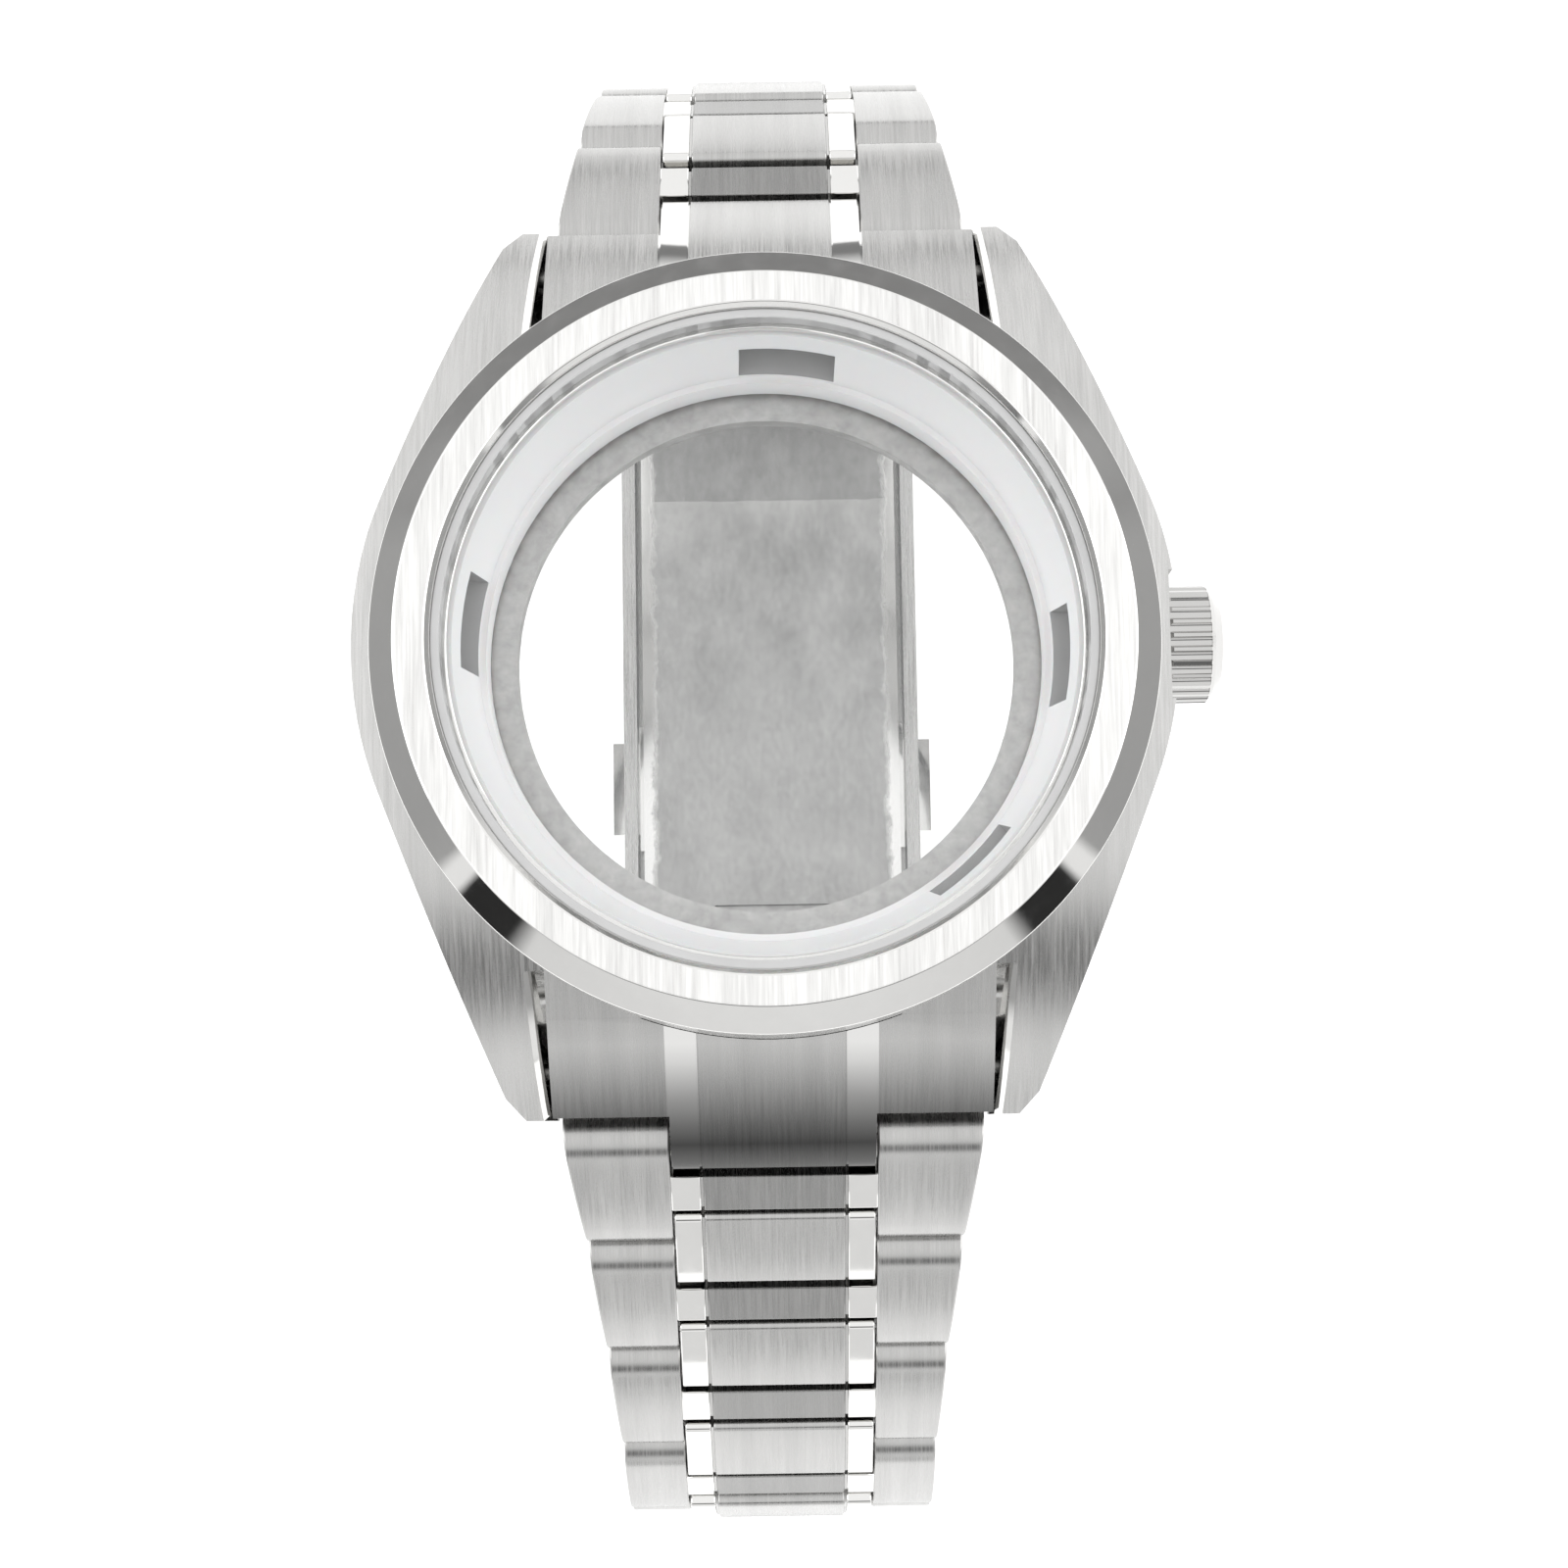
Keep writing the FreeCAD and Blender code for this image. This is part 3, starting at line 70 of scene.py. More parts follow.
# Places in a piece's list of finishes.
MAIN, SECOND, THIRD = range(3)

Point = tuple[float, float]
EdgeTest = Callable[[bmesh.types.BMEdge], bool]


class Surface(Enum):
    """The finishes that a piece of the watch can have."""

    CASE = "brushed case steel"
    RING = "brushed bezel ring"
    LINK = "brushed link steel"
    # Brushed steel of the short bars, painted darker as shade: the real bar is a separate facet that catches
    # less light.
    SHADED_BAR = "darker brushed bars"
    # The case's bore, painted dark as shade in the recess under the crystal.
    SHADED_BORE = "dark bore of the case"
    STRIP = "polished strips"
    END_LINK = "end link steel"
    POLISHED = "polished steel"
    BLADE = "frosted blade"
    TURNED = "turned steel"
    GLASS = "clear glass"
    CROWN = "polished crown"
    HOLDER = "white plastic"
    SLOT = "shaded plastic of the slots"
    SEAL = "black rubber"
    CRYSTAL_SEAL = "grey seal"


class Wire:
    """A shader socket that can be used in sums like a number.

    Args:
        recipe: the recipe whose nodes the sums are added to.
        socket: the output socket that carries the value.
    """

    def __init__(self, recipe: "Recipe", socket: bpy.types.NodeSocket) -> None:
        self.recipe = recipe
        self.socket = socket

    def _sum(self, operation: str, first: "Wire | float", second: "Wire | float") -> "Wire":
        """A Math node of two values.

        Args:
            operation: the node's operation.
            first: first value.
            second: second value.

        Returns:
            The node's result.
        """
        node = self.recipe.node("ShaderNodeMath", {"operation": operation}, {0: first, 1: second})
        return Wire(self.recipe, node.outputs[0])

    def __add__(self, other: "Wire | float") -> "Wire":
        """Sum."""
        return self._sum("ADD", self, other)

    def __sub__(self, other: "Wire | float") -> "Wire":
        """Difference."""
        return self._sum("SUBTRACT", self, other)

    def __rsub__(self, other: float) -> "Wire":
        """Difference with a number on the left."""
        return self._sum("SUBTRACT", other, self)

    def __mul__(self, other: "Wire | float") -> "Wire":
        """Product."""
        return self._sum("MULTIPLY", self, other)

    def __truediv__(self, other: "Wire | float") -> "Wire":
        """Quotient."""
        return self._sum("DIVIDE", self, other)

    def __pow__(self, other: float) -> "Wire":
        """Power."""
        return self._sum("POWER", self, other)

    def __gt__(self, other: "Wire | float") -> "Wire":
        """One where this value is the larger, and nought elsewhere."""
        return self._sum("GREATER_THAN", self, other)

    def __lt__(self, other: "Wire | float") -> "Wire":
        """One where this value is the smaller, and nought elsewhere."""
        return self._sum("LESS_THAN", self, other)

    def size(self) -> "Wire":
        """The value without its sign."""
        return self._sum("ABSOLUTE", self, 0.0)


class Nodes:
    """A node tree and the shader in it that takes its results.

    Args:
        tree: the node tree.
        shader: name of the shader node.
    """

    def __init__(self, tree: bpy.types.NodeTree, shader: str) -> None:
        self.tree = tree
        self.shader = tree.nodes[shader]

    def node(self, kind: str, settings: dict[str, object] | None = None,
             values: dict[int | str, object] | None = None) -> bpy.types.Node:
        """Add a node.

        Args:
            kind: the node's type name.
            settings: attributes of the node, set before its sockets.
            values: number, colour or link of each input socket.

        Returns:
            The new node.
        """
        node = self.tree.nodes.new(kind)
        for key, value in (settings or {}).items():
            setattr(node, key, value)
        for key, value in (values or {}).items():
            if isinstance(value, Wire):
                self.tree.links.new(value.socket, node.inputs[key])
            else:
                node.inputs[key].default_value = value
        return node

    def wire(self, kind: str, settings: dict[str, object] | None = None,
             values: dict[int | str, object] | None = None, output: int | str = 0) -> Wire:
        """Add a node and take one of its outputs.

        Args:
            kind: the node's type name.
            settings: attributes of the node, set before its sockets.
            values: number, colour or link of each input socket.
            output: the output to take.

        Returns:
            That output.
        """
        return Wire(self, self.node(kind, settings, values).outputs[output])

    def ramp(self, value: Wire, stops: Sequence[Point]) -> Wire:
        """A smooth curve through grey stops.

        Args:
            value: what runs over the ramp.
            stops: pairs of place and height.

        Returns:
            The height at the value.
        """
        node = self.node("ShaderNodeValToRGB", values={0: value})
        elements = node.color_ramp.elements
        while len(elements) < len(stops):
            elements.new(0.5)
        for element, (position, height) in zip(elements, stops):
            element.position = position
            element.color = (height, height, height, 1.0)
        return Wire(self, node.outputs["Color"])

    def feed(self, name: str, value: object) -> None:
        """Set or link one of the shader's sockets.

        Args:
            name: the socket's name.
            value: a number, a colour or a link.
        """
        if isinstance(value, Wire):
            self.tree.links.new(value.socket, self.shader.inputs[name])
        else:
            self.shader.inputs[name].default_value = value


class Recipe(Nodes):
    """The nodes of one material.

    Args:
        name: the material's name.
    """

    def __init__(self, name: str) -> None:
        self.material = bpy.data.materials.new(name)
        self.material.use_nodes = True
        super().__init__(self.material.node_tree, "Principled BSDF")

    def place(self) -> Wire:
        """Place on the object, in metres of the part's frame."""
        return self.wire("ShaderNodeTexCoord", output="Object")

    def axis(self, letter: str) -> Wire:
        """One coordinate of the place on the object.

        Args:
            letter: X, Y or Z.

        Returns:
            That coordinate in metres.
        """
        return self.wire("ShaderNodeSeparateXYZ", values={0: self.place()}, output=letter)

    def noise(self, scales: tuple[float, float, float], detail: float = 2.0, roughness: float = 0.6) -> Wire:
        """Noise that is finer along some axes than along others.

        Args:
            scales: grains per metre along X, Y and Z.
            detail: how many finer layers it has.
            roughness: how strong the finer layers are.

        Returns:
            A value around one half.
        """
        stretched = self.wire("ShaderNodeVectorMath", {"operation": "MULTIPLY"}, {0: self.place(), 1: scales})
        return self.wire("ShaderNodeTexNoise", values={
            "Vector": stretched, "Scale": 1.0, "Detail": detail, "Roughness": roughness}, output="Fac")

    def colour(self, low: Sequence[float], high: Sequence[float], share: Wire) -> Wire:
        """A colour between two.

        Args:
            low: colour where the share is nought.
            high: colour where the share is one.
            share: how much of the second colour.

        Returns:
            The mixed colour.
        """
        return self.wire("ShaderNodeMix", {"data_type": "RGBA"}, {
            "Factor": share, 6: (*low, 1.0), 7: (*high, 1.0)}, output=2)

    def bump(self, height: Wire, strength: float, distance: float) -> None:
        """Feed a height to the shader's normal.

        Args:
            height: the surface's height, nought to one.
            strength: how strong the bump is.
            distance: real height of one, in metres.
        """
        normal = self.wire("ShaderNodeBump", values={
            "Strength": strength, "Distance": distance, "Height": height}, output="Normal")
        self.feed("Normal", normal)


@dataclass(frozen=True)
class Steel:
    """Brushed steel.

    Args:
        name: the material's name.
        low: grey in the valleys of the grain.
        high: grey on its crests.
        rough: roughness of the smoothest and the roughest places.
        grain: grains per metre along X, Y and Z.
        depth: height of the grain in metres.
        relief: strength of its bump.
        fine_share: how much of the shade comes from the fine grain; the rest is from the broad one.
        broad_scale: grains of the broad one to each fine one.
    """

    name: str
    low: float = 0.46
    high: float = 0.62
    rough: tuple[float, float] = (0.2, 0.34)
    grain: tuple[float, float, float] = (9000.0, 260.0, 260.0)
    depth: float = 0.00001
    relief: float = 0.4
    fine_share: float = 0.65
    broad_scale: float = 0.12

    def finish(self, recipe: Recipe, shade: Wire, rough: Wire, height: Wire) -> bpy.types.Material:
        """Feed the shader.

        Args:
            recipe: the material's nodes.
            shade: how light the steel is, nought to one.
            rough: its roughness.
            height: height of its grain.

        Returns:
            The finished material.
        """
        recipe.feed("Base Color", recipe.colour((0.0, 0.0, 0.0), (1.0, 0.995, 0.98), shade))
        recipe.feed("Roughness", rough)
        recipe.feed("Metallic", 1.0)
        recipe.bump(height, self.relief, self.depth)
        return recipe.material

    def grains(self, recipe: Recipe) -> tuple[Wire, Wire]:
        """The grain and its shade.

        Args:
            recipe: the material's nodes.

        Returns:
            The fine grain, and the steel's shade over fine and broad grain.
        """
        fine = recipe.noise(self.grain, 3.0, 0.65)
        broad = recipe.noise(tuple(scale * self.broad_scale for scale in self.grain), 2.0, 0.5)
        both = fine * self.fine_share + broad * (1 - self.fine_share)
        share = recipe.ramp(both, [(0.32, 0.0), (0.68, 1.0)])
        return fine, share * (self.high - self.low) + self.low

    def roughness(self, recipe: Recipe, noise: Wire) -> Wire:
        """Roughness that follows a noise.

        Args:
            recipe: the material's nodes.
            noise: the noise.

        Returns:
            A roughness between the two of this steel.
        """
        return recipe.ramp(noise, [(0.3, self.rough[0]), (0.7, self.rough[1])])

    def material(self) -> bpy.types.Material:
        """Make the material.

        Returns:
            The finished material.
        """
        recipe = Recipe(self.name)
        fine, shade = self.grains(recipe)
        return self.finish(recipe, shade, self.roughness(recipe, fine), fine)


@dataclass(frozen=True)
class EndSteel(Steel):
    """Steel of the end links: brushed, polished between the two grooves, and with painted shade at the bend,
    for the dark surroundings that the real bend mirrors.

    Args:
        inner: where the polished strip starts, across the link, in metres.
        outer: where it ends.
        strip_grey: grey of the strip.
        strip_rough: its roughness.
        bend: how far from the middle of the watch the darkest line of the painted bend shade is, in metres.
        bend_sharp: how fast the painted bend shade fades, per metre.
    """

    inner: float = 3.4 * MM
    outer: float = 4.85 * MM
    strip_grey: float = 0.72
    strip_rough: float = 0.06
    bend: float = 22.2 * MM
    bend_sharp: float = 220.0

    def material(self) -> bpy.types.Material:
        """Make the material.

        Returns:
            The finished material.
        """
        recipe = Recipe(self.name)
        fine, shade = self.grains(recipe)
        across = recipe.axis("X").size()
        strip = (across > self.inner) * (across < self.outer)
        brushed = 1 - strip
        # Painted shade: the base colour darkens towards a line across the bend, standing in for the dark
        # reflection of the real bend.
        near = recipe.axis("Y") + self.bend
        painted_bend_shade = recipe.ramp(near.size() * self.bend_sharp, [(0.0, 0.1), (0.2, 0.25), (1.0, 1.0)])
        shade = (shade * brushed + strip * self.strip_grey) * painted_bend_shade
        rough = self.roughness(recipe, fine) * brushed + strip * self.strip_rough
        return self.finish(recipe, shade, rough, fine * brushed)


@dataclass(frozen=True)
class BladeSteel(Steel):
    """Steel of the blade seen through the case: frosted, with bright rubbed margins and a darker far end.

    Args:
        margin: how far from the middle the bright margins start, in metres.
        margin_grey: their grey.
        margin_rough: their roughness.
        ragged: how far the margins' edges stray, in metres.
        step: place of the line between the darker far end and the bright band, in metres.
        far_end_loss: how much darker the far end is.
        band_gain: how much lighter the band is at that line.
        stain: how much the stains change the grey.
    """

    margin: float = 7.0 * MM
    margin_grey: float = 0.9
    margin_rough: float = 0.12
    ragged: float = 1.1 * MM
    step: float = 16.6 * MM
    far_end_loss: float = 0.22
    band_gain: float = 0.08
    stain: float = 0.24

    def material(self) -> bpy.types.Material:
        """Make the material.

        Returns:
            The finished material.
        """
        recipe = Recipe(self.name)
        fine, shade = self.grains(recipe)
        stains = recipe.noise((420.0, 260.0, 300.0), 4.0, 0.6)
        ragged = recipe.noise((900.0, 700.0, 300.0), 4.0, 0.7) * self.ragged - self.ragged / 2
        across = recipe.axis("X").size() + ragged
        rub = recipe.ramp((across - self.margin) * 2500.0 + 0.5, [(0.0, 0.0), (1.0, 1.0)])
        along = recipe.axis("Y") + ragged * 0.3
        far_end = along > self.step
        band = recipe.ramp((self.step - along) * 300.0, [(0.0, 1.0), (1.0, 0.0)]) * (1 - far_end)
        shade = (shade + stains * self.stain - self.stain / 2) * (1 - far_end * self.far_end_loss)
        shade = (shade + band * self.band_gain) * (1 - rub) + rub * self.margin_grey
        rough = self.roughness(recipe, stains) * (1 - rub) + rub * self.margin_rough
        return self.finish(recipe, shade, rough, fine * (1 - rub))


@dataclass(frozen=True)
class Polish:
    """Polished steel with the faint marks that polishing leaves.

    Args:
        name: the material's name.
        tint: the steel's colour.
        rough: roughness of the smoothest and the roughest places.
        worn: brightness of the worn places against the others.
        depth: depth of the marks in metres.
    """

    name: str
    tint: tuple[float, float, float] = (0.82, 0.815, 0.8)
    rough: tuple[float, float] = (0.03, 0.08)
    worn: float = 0.93
    depth: float = 0.000004

    def material(self) -> bpy.types.Material:
        """Make the material.

        Returns:
            The finished material.
        """
        recipe = Recipe(self.name)
        marks = recipe.noise((900.0, 700.0, 900.0), 4.0, 0.7)
        worn = tuple(part * self.worn for part in self.tint)
        recipe.feed("Base Color", recipe.colour(worn, self.tint, marks))
        recipe.feed("Roughness", recipe.ramp(marks, [(0.35, self.rough[0]), (0.75, self.rough[1])]))
        recipe.feed("Metallic", 1.0)
        recipe.bump(marks, 0.06, self.depth)
        return recipe.material


@dataclass(frozen=True)
class Clear:
    """Clear glass, seen through by its alpha.

    Args:
        name: the material's name.
        haze: how much of it shows.
    """

    name: str
    haze: float = 0.04

    def material(self) -> bpy.types.Material:
        """Make the material.

        Returns:
            The finished material.
        """
        recipe = Recipe(self.name)
        dust = recipe.noise((500.0, 500.0, 500.0), 3.0, 0.6)
        recipe.feed("Base Color", recipe.colour((0.9, 0.92, 0.92), (0.98, 0.99, 0.99), dust))
        recipe.feed("Roughness", recipe.ramp(dust, [(0.4, 0.01), (0.8, 0.03)]))
        recipe.feed("Alpha", self.haze)
        recipe.feed("IOR", 1.5)
        return recipe.material


@dataclass(frozen=True)
class Plastic:
    """Moulded plastic or rubber.

    Args:
        name: the material's name.
        low: colour of the darker places.
        high: colour of the lighter places.
        rough: roughness of the smoothest and the roughest places.
        soft: how much light goes into it.
    """

    name: str
    low: tuple[float, float, float]
    high: tuple[float, float, float]
    rough: tuple[float, float] = (0.4, 0.55)
    soft: float = 0.0

    def material(self) -> bpy.types.Material:
        """Make the material.

        Returns:
            The finished material.
        """
        recipe = Recipe(self.name)
        cloud = recipe.noise((350.0, 350.0, 350.0), 4.0, 0.6)
        recipe.feed("Base Color", recipe.colour(self.low, self.high, cloud))
        recipe.feed("Roughness", recipe.ramp(cloud, [(0.35, self.rough[0]), (0.7, self.rough[1])]))
        recipe.feed("Subsurface Weight", self.soft)
        recipe.feed("Subsurface Scale", 0.0012)
        recipe.bump(recipe.noise((9000.0, 9000.0, 9000.0), 2.0, 0.5), 0.15, 0.000006)
        return recipe.material


FINISHES: dict[Surface, Steel | Polish | Clear | Plastic] = {
    Surface.CASE: Steel("case_brushed", low=0.52, high=0.66, grain=(8200.0, 260.0, 400.0)),
    Surface.RING: Steel("ring_brushed", low=0.68, high=0.94, rough=(0.26, 0.4), grain=(7000.0, 240.0, 240.0)),
    Surface.LINK: Steel("link_brushed", low=0.44, high=0.56),
    # The short bars' darker grey is painted shade.
    Surface.SHADED_BAR: Steel("bar_painted_shade", low=0.28, high=0.36),
    # The bore's dark grey is painted shade.
    Surface.SHADED_BORE: Steel("bore_painted_shade", low=0.16, high=0.24, rough=(0.35, 0.5), grain=(400.0, 400.0, 9000.0)),
    Surface.STRIP: Polish("strip_polished", rough=(0.05, 0.12)),
    Surface.END_LINK: EndSteel("end_link_brushed", low=0.46, high=0.6),
    Surface.POLISHED: Polish("polished"),
    Surface.CROWN: Polish("crown_polished", tint=(0.6, 0.595, 0.585), rough=(0.06, 0.14)),
    Surface.SLOT: Plastic("slot_painted_shade", (0.3, 0.3, 0.3), (0.4, 0.4, 0.4)),
    Surface.BLADE: BladeSteel("blade_frosted", low=0.36, high=0.46, rough=(0.36, 0.5),
                              grain=(3000.0, 1500.0, 3000.0), depth=0.000015),
    Surface.TURNED: Steel("turned", low=0.36, high=0.56, rough=(0.3, 0.48), grain=(1400.0, 1400.0, 1400.0)),
    Surface.GLASS: Clear("crystal_clear"),
    Surface.HOLDER: Plastic("holder_white", (0.76, 0.76, 0.77), (0.84, 0.84, 0.84), soft=0.15),
    Surface.SEAL: Plastic("seal_black", (0.02, 0.02, 0.02), (0.04, 0.04, 0.04)),
    Surface.CRYSTAL_SEAL: Plastic("seal_grey", (0.5, 0.5, 0.5), (0.62, 0.62, 0.62)),
}


@dataclass
class Workshop:
    """Makes materials once, and turns finished meshes into pieces that ride on the frame.

    Args:
        made: the materials that have been made.
        smooth_angle: edges sharper than this stay sharp, in degrees.
    """

    made: dict[Surface, bpy.types.Material] = field(default_factory=dict)
    smooth_angle: float = 20.0

    def material(self, surface: Surface) -> bpy.types.Material:
        """The material of a finish.

        Args:
            surface: which finish.

        Returns:
            Its material, made the first time it is asked for.
        """
        if surface not in self.made:
            self.made[surface] = FINISHES[surface].material()
        return self.made[surface]

    def piece(self, name: str, mesh: bmesh.types.BMesh, body: str, surfaces: Sequence[Surface],
              replaced: Sequence[str], flat_share: float = 0.0) -> None:
        """Turn a mesh into a piece.

        Args:
            name: the piece's name.
            mesh: its finished mesh, in metres and in place; it is freed.
            body: the body that it rides on.
            surfaces: its finishes, in the order of its faces' material numbers.
            replaced: the nodes that it stands for.
            flat_share: an edge stays sharp too where the smaller face beside it has less than this share
                of the larger one's area, which keeps wide faces flat beside a fine rounding.
        """
        data = bpy.data.meshes.new(name)
        limit = math.radians(self.smooth_angle)
        for face in mesh.faces:
            face.smooth = True
        for edge in mesh.edges:
            finishes = {face.material_index for face in edge.link_faces}
            areas = sorted(face.calc_area() for face in edge.link_faces)
            alike = len(finishes) == 1 and areas[0] >= areas[-1] * flat_share
            edge.smooth = edge.is_manifold and edge.calc_face_angle(0.0) <= limit and alike
        mesh.to_mesh(data)
        mesh.free()
        item = bpy.data.objects.new(name, data)
        bpy.context.scene.collection.objects.link(item)
        for surface in surfaces:
            data.materials.append(self.material(surface))
        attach(item, body)
        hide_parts(*replaced)
        LOG.info("%s: %d faces on %s", name, len(data.polygons), body)

    def dress(self, node: str, surface: Surface) -> None:
        """Give a node of the frame a better material.

        Args:
            node: the node's name.
            surface: its finish.
        """
        item = frame["nodes"][node]
        item.data.materials.clear()
        item.data.materials.append(self.material(surface))
        LOG.info("%s: %s", node, surface.value)


def sharp(angle: float) -> EdgeTest:
    """A test for edges that turn by more than an angle.

    Args:
        angle: the least turn, in degrees.

    Returns:
        The test.
    """
    limit = math.radians(angle)
    return lambda edge: edge.is_manifold and edge.calc_face_angle(0.0) > limit


def soften(mesh: bmesh.types.BMesh, width: float, test: EdgeTest) -> None:
    """Round the edges that a test picks.

    Args:
        mesh: the mesh to change.
        width: width of the rounding, in millimetres.
        test: which edges.
    """
    wanted = [edge for edge in mesh.edges if test(edge)]
    bmesh.ops.bevel(mesh, geom=wanted, offset=width * MM, offset_type="OFFSET", affect="EDGES",
                    segments=2, profile=0.5, material=-1, clamp_overlap=True)


def spun(profile: Iterable[Point], steps: int = 160) -> bmesh.types.BMesh:
    """A closed ring or disc from a profile of radius and height, turned about Z.

    Args:
        profile: corners as (radius, height) in millimetres, in order round the section.
        steps: segments of the full turn.

    Returns:
        The mesh, with its faces pointing outwards.
    """
    mesh = bmesh.new()
    corners = list(profile)
    closed = all(radius > 0 for radius, _ in corners)
    verts = [mesh.verts.new((radius * MM, 0.0, height * MM)) for radius, height in corners]
    pairs = list(zip(verts, verts[1:])) + ([(verts[-1], verts[0])] if closed else [])
    edges = [mesh.edges.new(pair) for pair in pairs]
    bmesh.ops.spin(mesh, geom=verts + edges, cent=(0, 0, 0), axis=(0, 0, 1), dvec=(0, 0, 0),
                   angle=math.tau, steps=steps, use_merge=True, use_duplicate=False)
    bmesh.ops.remove_doubles(mesh, verts=mesh.verts, dist=MERGE_GAP)
    bmesh.ops.recalc_face_normals(mesh, faces=mesh.faces)
    return mesh


def block(mesh: bmesh.types.BMesh, low: Sequence[float], high: Sequence[float]) -> list[bmesh.types.BMVert]:
    """Add a box.

    Args:
        mesh: the mesh to add to.
        low: lowest corner, in millimetres.
        high: highest corner, in millimetres.

    Returns:
        The box's corners.
    """
    made = bmesh.ops.create_cube(mesh, size=1.0)["verts"]
    span = [(top - bottom) * MM for bottom, top in zip(low, high)]
    middle = [(top + bottom) / 2 * MM for bottom, top in zip(low, high)]
    bmesh.ops.scale(mesh, vec=span, verts=made)
    bmesh.ops.translate(mesh, vec=middle, verts=made)
    return made


def edges_of(verts: Iterable[bmesh.types.BMVert]) -> list[bmesh.types.BMEdge]:
    """All edges between some corners.

    Args:
        verts: the corners.

    Returns:
        The edges with both ends among them.
    """
    chosen = set(verts)
    return list({edge for vert in chosen for edge in vert.link_edges if edge.other_vert(vert) in chosen})


def copy_of(node: str) -> bmesh.types.BMesh:
    """A node's solid as a mesh whose triangles are joined.

    Args:
        node: the node's name.

    Returns:
        The merged copy.
    """
    mesh = bmesh.new()
    mesh.from_mesh(frame["nodes"][node].data)
    for face in mesh.faces:
        face.material_index = 0
    bmesh.ops.remove_doubles(mesh, verts=mesh.verts, dist=2e-6)
    bmesh.ops.dissolve_limit(mesh, angle_limit=math.radians(1.0), verts=mesh.verts, edges=mesh.edges)
    return mesh


@dataclass
class Head:
    """The case with its bezel, crystal, movement holder, crown and case back, in millimetres.

    Args:
        shop: makes the pieces.
        bezel: section of the bezel, as radius and height.
        crystal: section of the crystal.
        crystal_seal: section of the crystal's seal.
        ring_span: inner and outer radius of the bezel's brushed ring.
        lug_bevel: width of the bevel along a lug's inner edge.
        lug_inside: how far from the middle the lugs' inner walls may be.
        lug_turn: least turn of a lug's inner edge, in degrees.
        slot_heights: heights between which the walls of the holder's slots are.
        wall: radius of the case's wall behind the end links.
        panel_half: half an end link's width.
        panel_more: how much further out its sides are drawn.
        panel_lip: how much further out its upper edges are drawn.
        panel_back: where its side panels end in the solid.
        panel_top: height of the panels there.
        panel_slope: their rise towards the case.
        panel_depth: thickness of the part that carries them on.
        panel_steps: corners of that part along the round wall.
        panel_lap: how far it reaches over the solid's panels.
        bore: radius inside which the case's walls are its bore, which is painted dark as shade.
    """

    shop: Workshop
    bezel: tuple[Point, ...] = (
        (14.1, 5.0), (17.5, 5.0), (17.5, 5.9), (16.3, 6.9),
        (14.95, 6.9), (14.7, 6.65), (14.7, 5.5), (14.1, 5.5))
    crystal: tuple[Point, ...] = ((0.0, 5.5), (14.3, 5.5), (14.3, 6.85), (14.05, 7.1), (0.0, 7.1))
    crystal_seal: tuple[Point, ...] = ((14.3, 5.5), (14.7, 5.5), (14.7, 6.5), (14.3, 6.5))
    ring_span: Point = (14.95, 16.3)
    lug_bevel: float = 0.3
    lug_inside: float = 11.0
    lug_turn: float = 50.0
    slot_heights: Point = (1.19, 3.61)
    wall: float = 17.47
    panel_half: float = 9.9
    panel_more: float = 0.05
    panel_lip: float = 0.2
    panel_back: float = 16.5
    panel_top: float = 1.41
    panel_slope: float = 0.593
    panel_depth: float = 2.6
    panel_steps: int = 8
    panel_lap: float = 0.02
    bore: float = 15.6

    def make_bezel(self) -> None:
        """The bezel, with a brushed ring between two polished bevels."""
        mesh = spun(self.bezel, 192)
        soften(mesh, 0.05, sharp(20.0))
        low, high = self.ring_span
        for face in mesh.faces:
            middle = face.calc_center_median()
            radius = math.hypot(middle.x, middle.y) / MM
            flat = face.normal.z > 0.98 and low < radius < high
            face.material_index = MAIN if flat else SECOND
        self.shop.piece("bezel_ring", mesh, "case", [Surface.RING, Surface.POLISHED], ["bezel"],
                        flat_share=0.2)

    def make_glass(self) -> None:
        """The crystal with its seal."""
        mesh = spun(self.crystal, 160)
        self.shop.piece("crystal_disc", mesh, "case", [Surface.GLASS], ["crystal"])
        seal = spun(self.crystal_seal, 160)
        soften(seal, 0.06, sharp(30.0))
        self.shop.piece("crystal_seal", seal, "case", [Surface.CRYSTAL_SEAL], ["crystal_gasket"])

    def make_mid_case(self) -> None:
        """The case middle, with polished bevels inside its lugs and a bore painted dark as shade."""
        mesh = copy_of("mid_case")

        def lug_edge(edge: bmesh.types.BMEdge) -> bool:
            """Whether an edge lies between a lug's top and its inside."""
            if not sharp(self.lug_turn)(edge):
                return False
            upper, side = sorted(edge.link_faces, key=lambda face: -face.normal.z)
            across = (edge.verts[0].co.x + edge.verts[1].co.x) / 2
            inside = abs(side.normal.x) > 0.9 and abs(across) < self.lug_inside * MM
            return upper.normal.z > 0.6 and abs(side.normal.z) < 0.2 and inside

        picked = [edge for edge in mesh.edges if lug_edge(edge)]
        cut = bmesh.ops.bevel(mesh, geom=picked, offset=self.lug_bevel * MM, offset_type="OFFSET",
                              affect="EDGES", segments=1, profile=0.5, material=-1, clamp_overlap=False)
        polished = {face for face in cut["faces"] if 0.2 < face.normal.z < 0.95}
        for face in mesh.faces:
            if abs(face.normal.x) > 0.9 and 0.05 < face.normal.z < 0.3:
                polished.add(face)
            middle = face.calc_center_median()
            inwards = face.normal.x * middle.x + face.normal.y * middle.y < 0
            # Inward walls of the bore take the painted shade.
            if inwards and abs(face.normal.z) < 0.3 and math.hypot(middle.x, middle.y) < self.bore * MM:
                face.material_index = THIRD
        for face in polished:
            face.material_index = SECOND
        self.shop.piece("case_middle", mesh, "case", [Surface.CASE, Surface.POLISHED, Surface.SHADED_BORE],
                        ["mid_case"], flat_share=0.02)

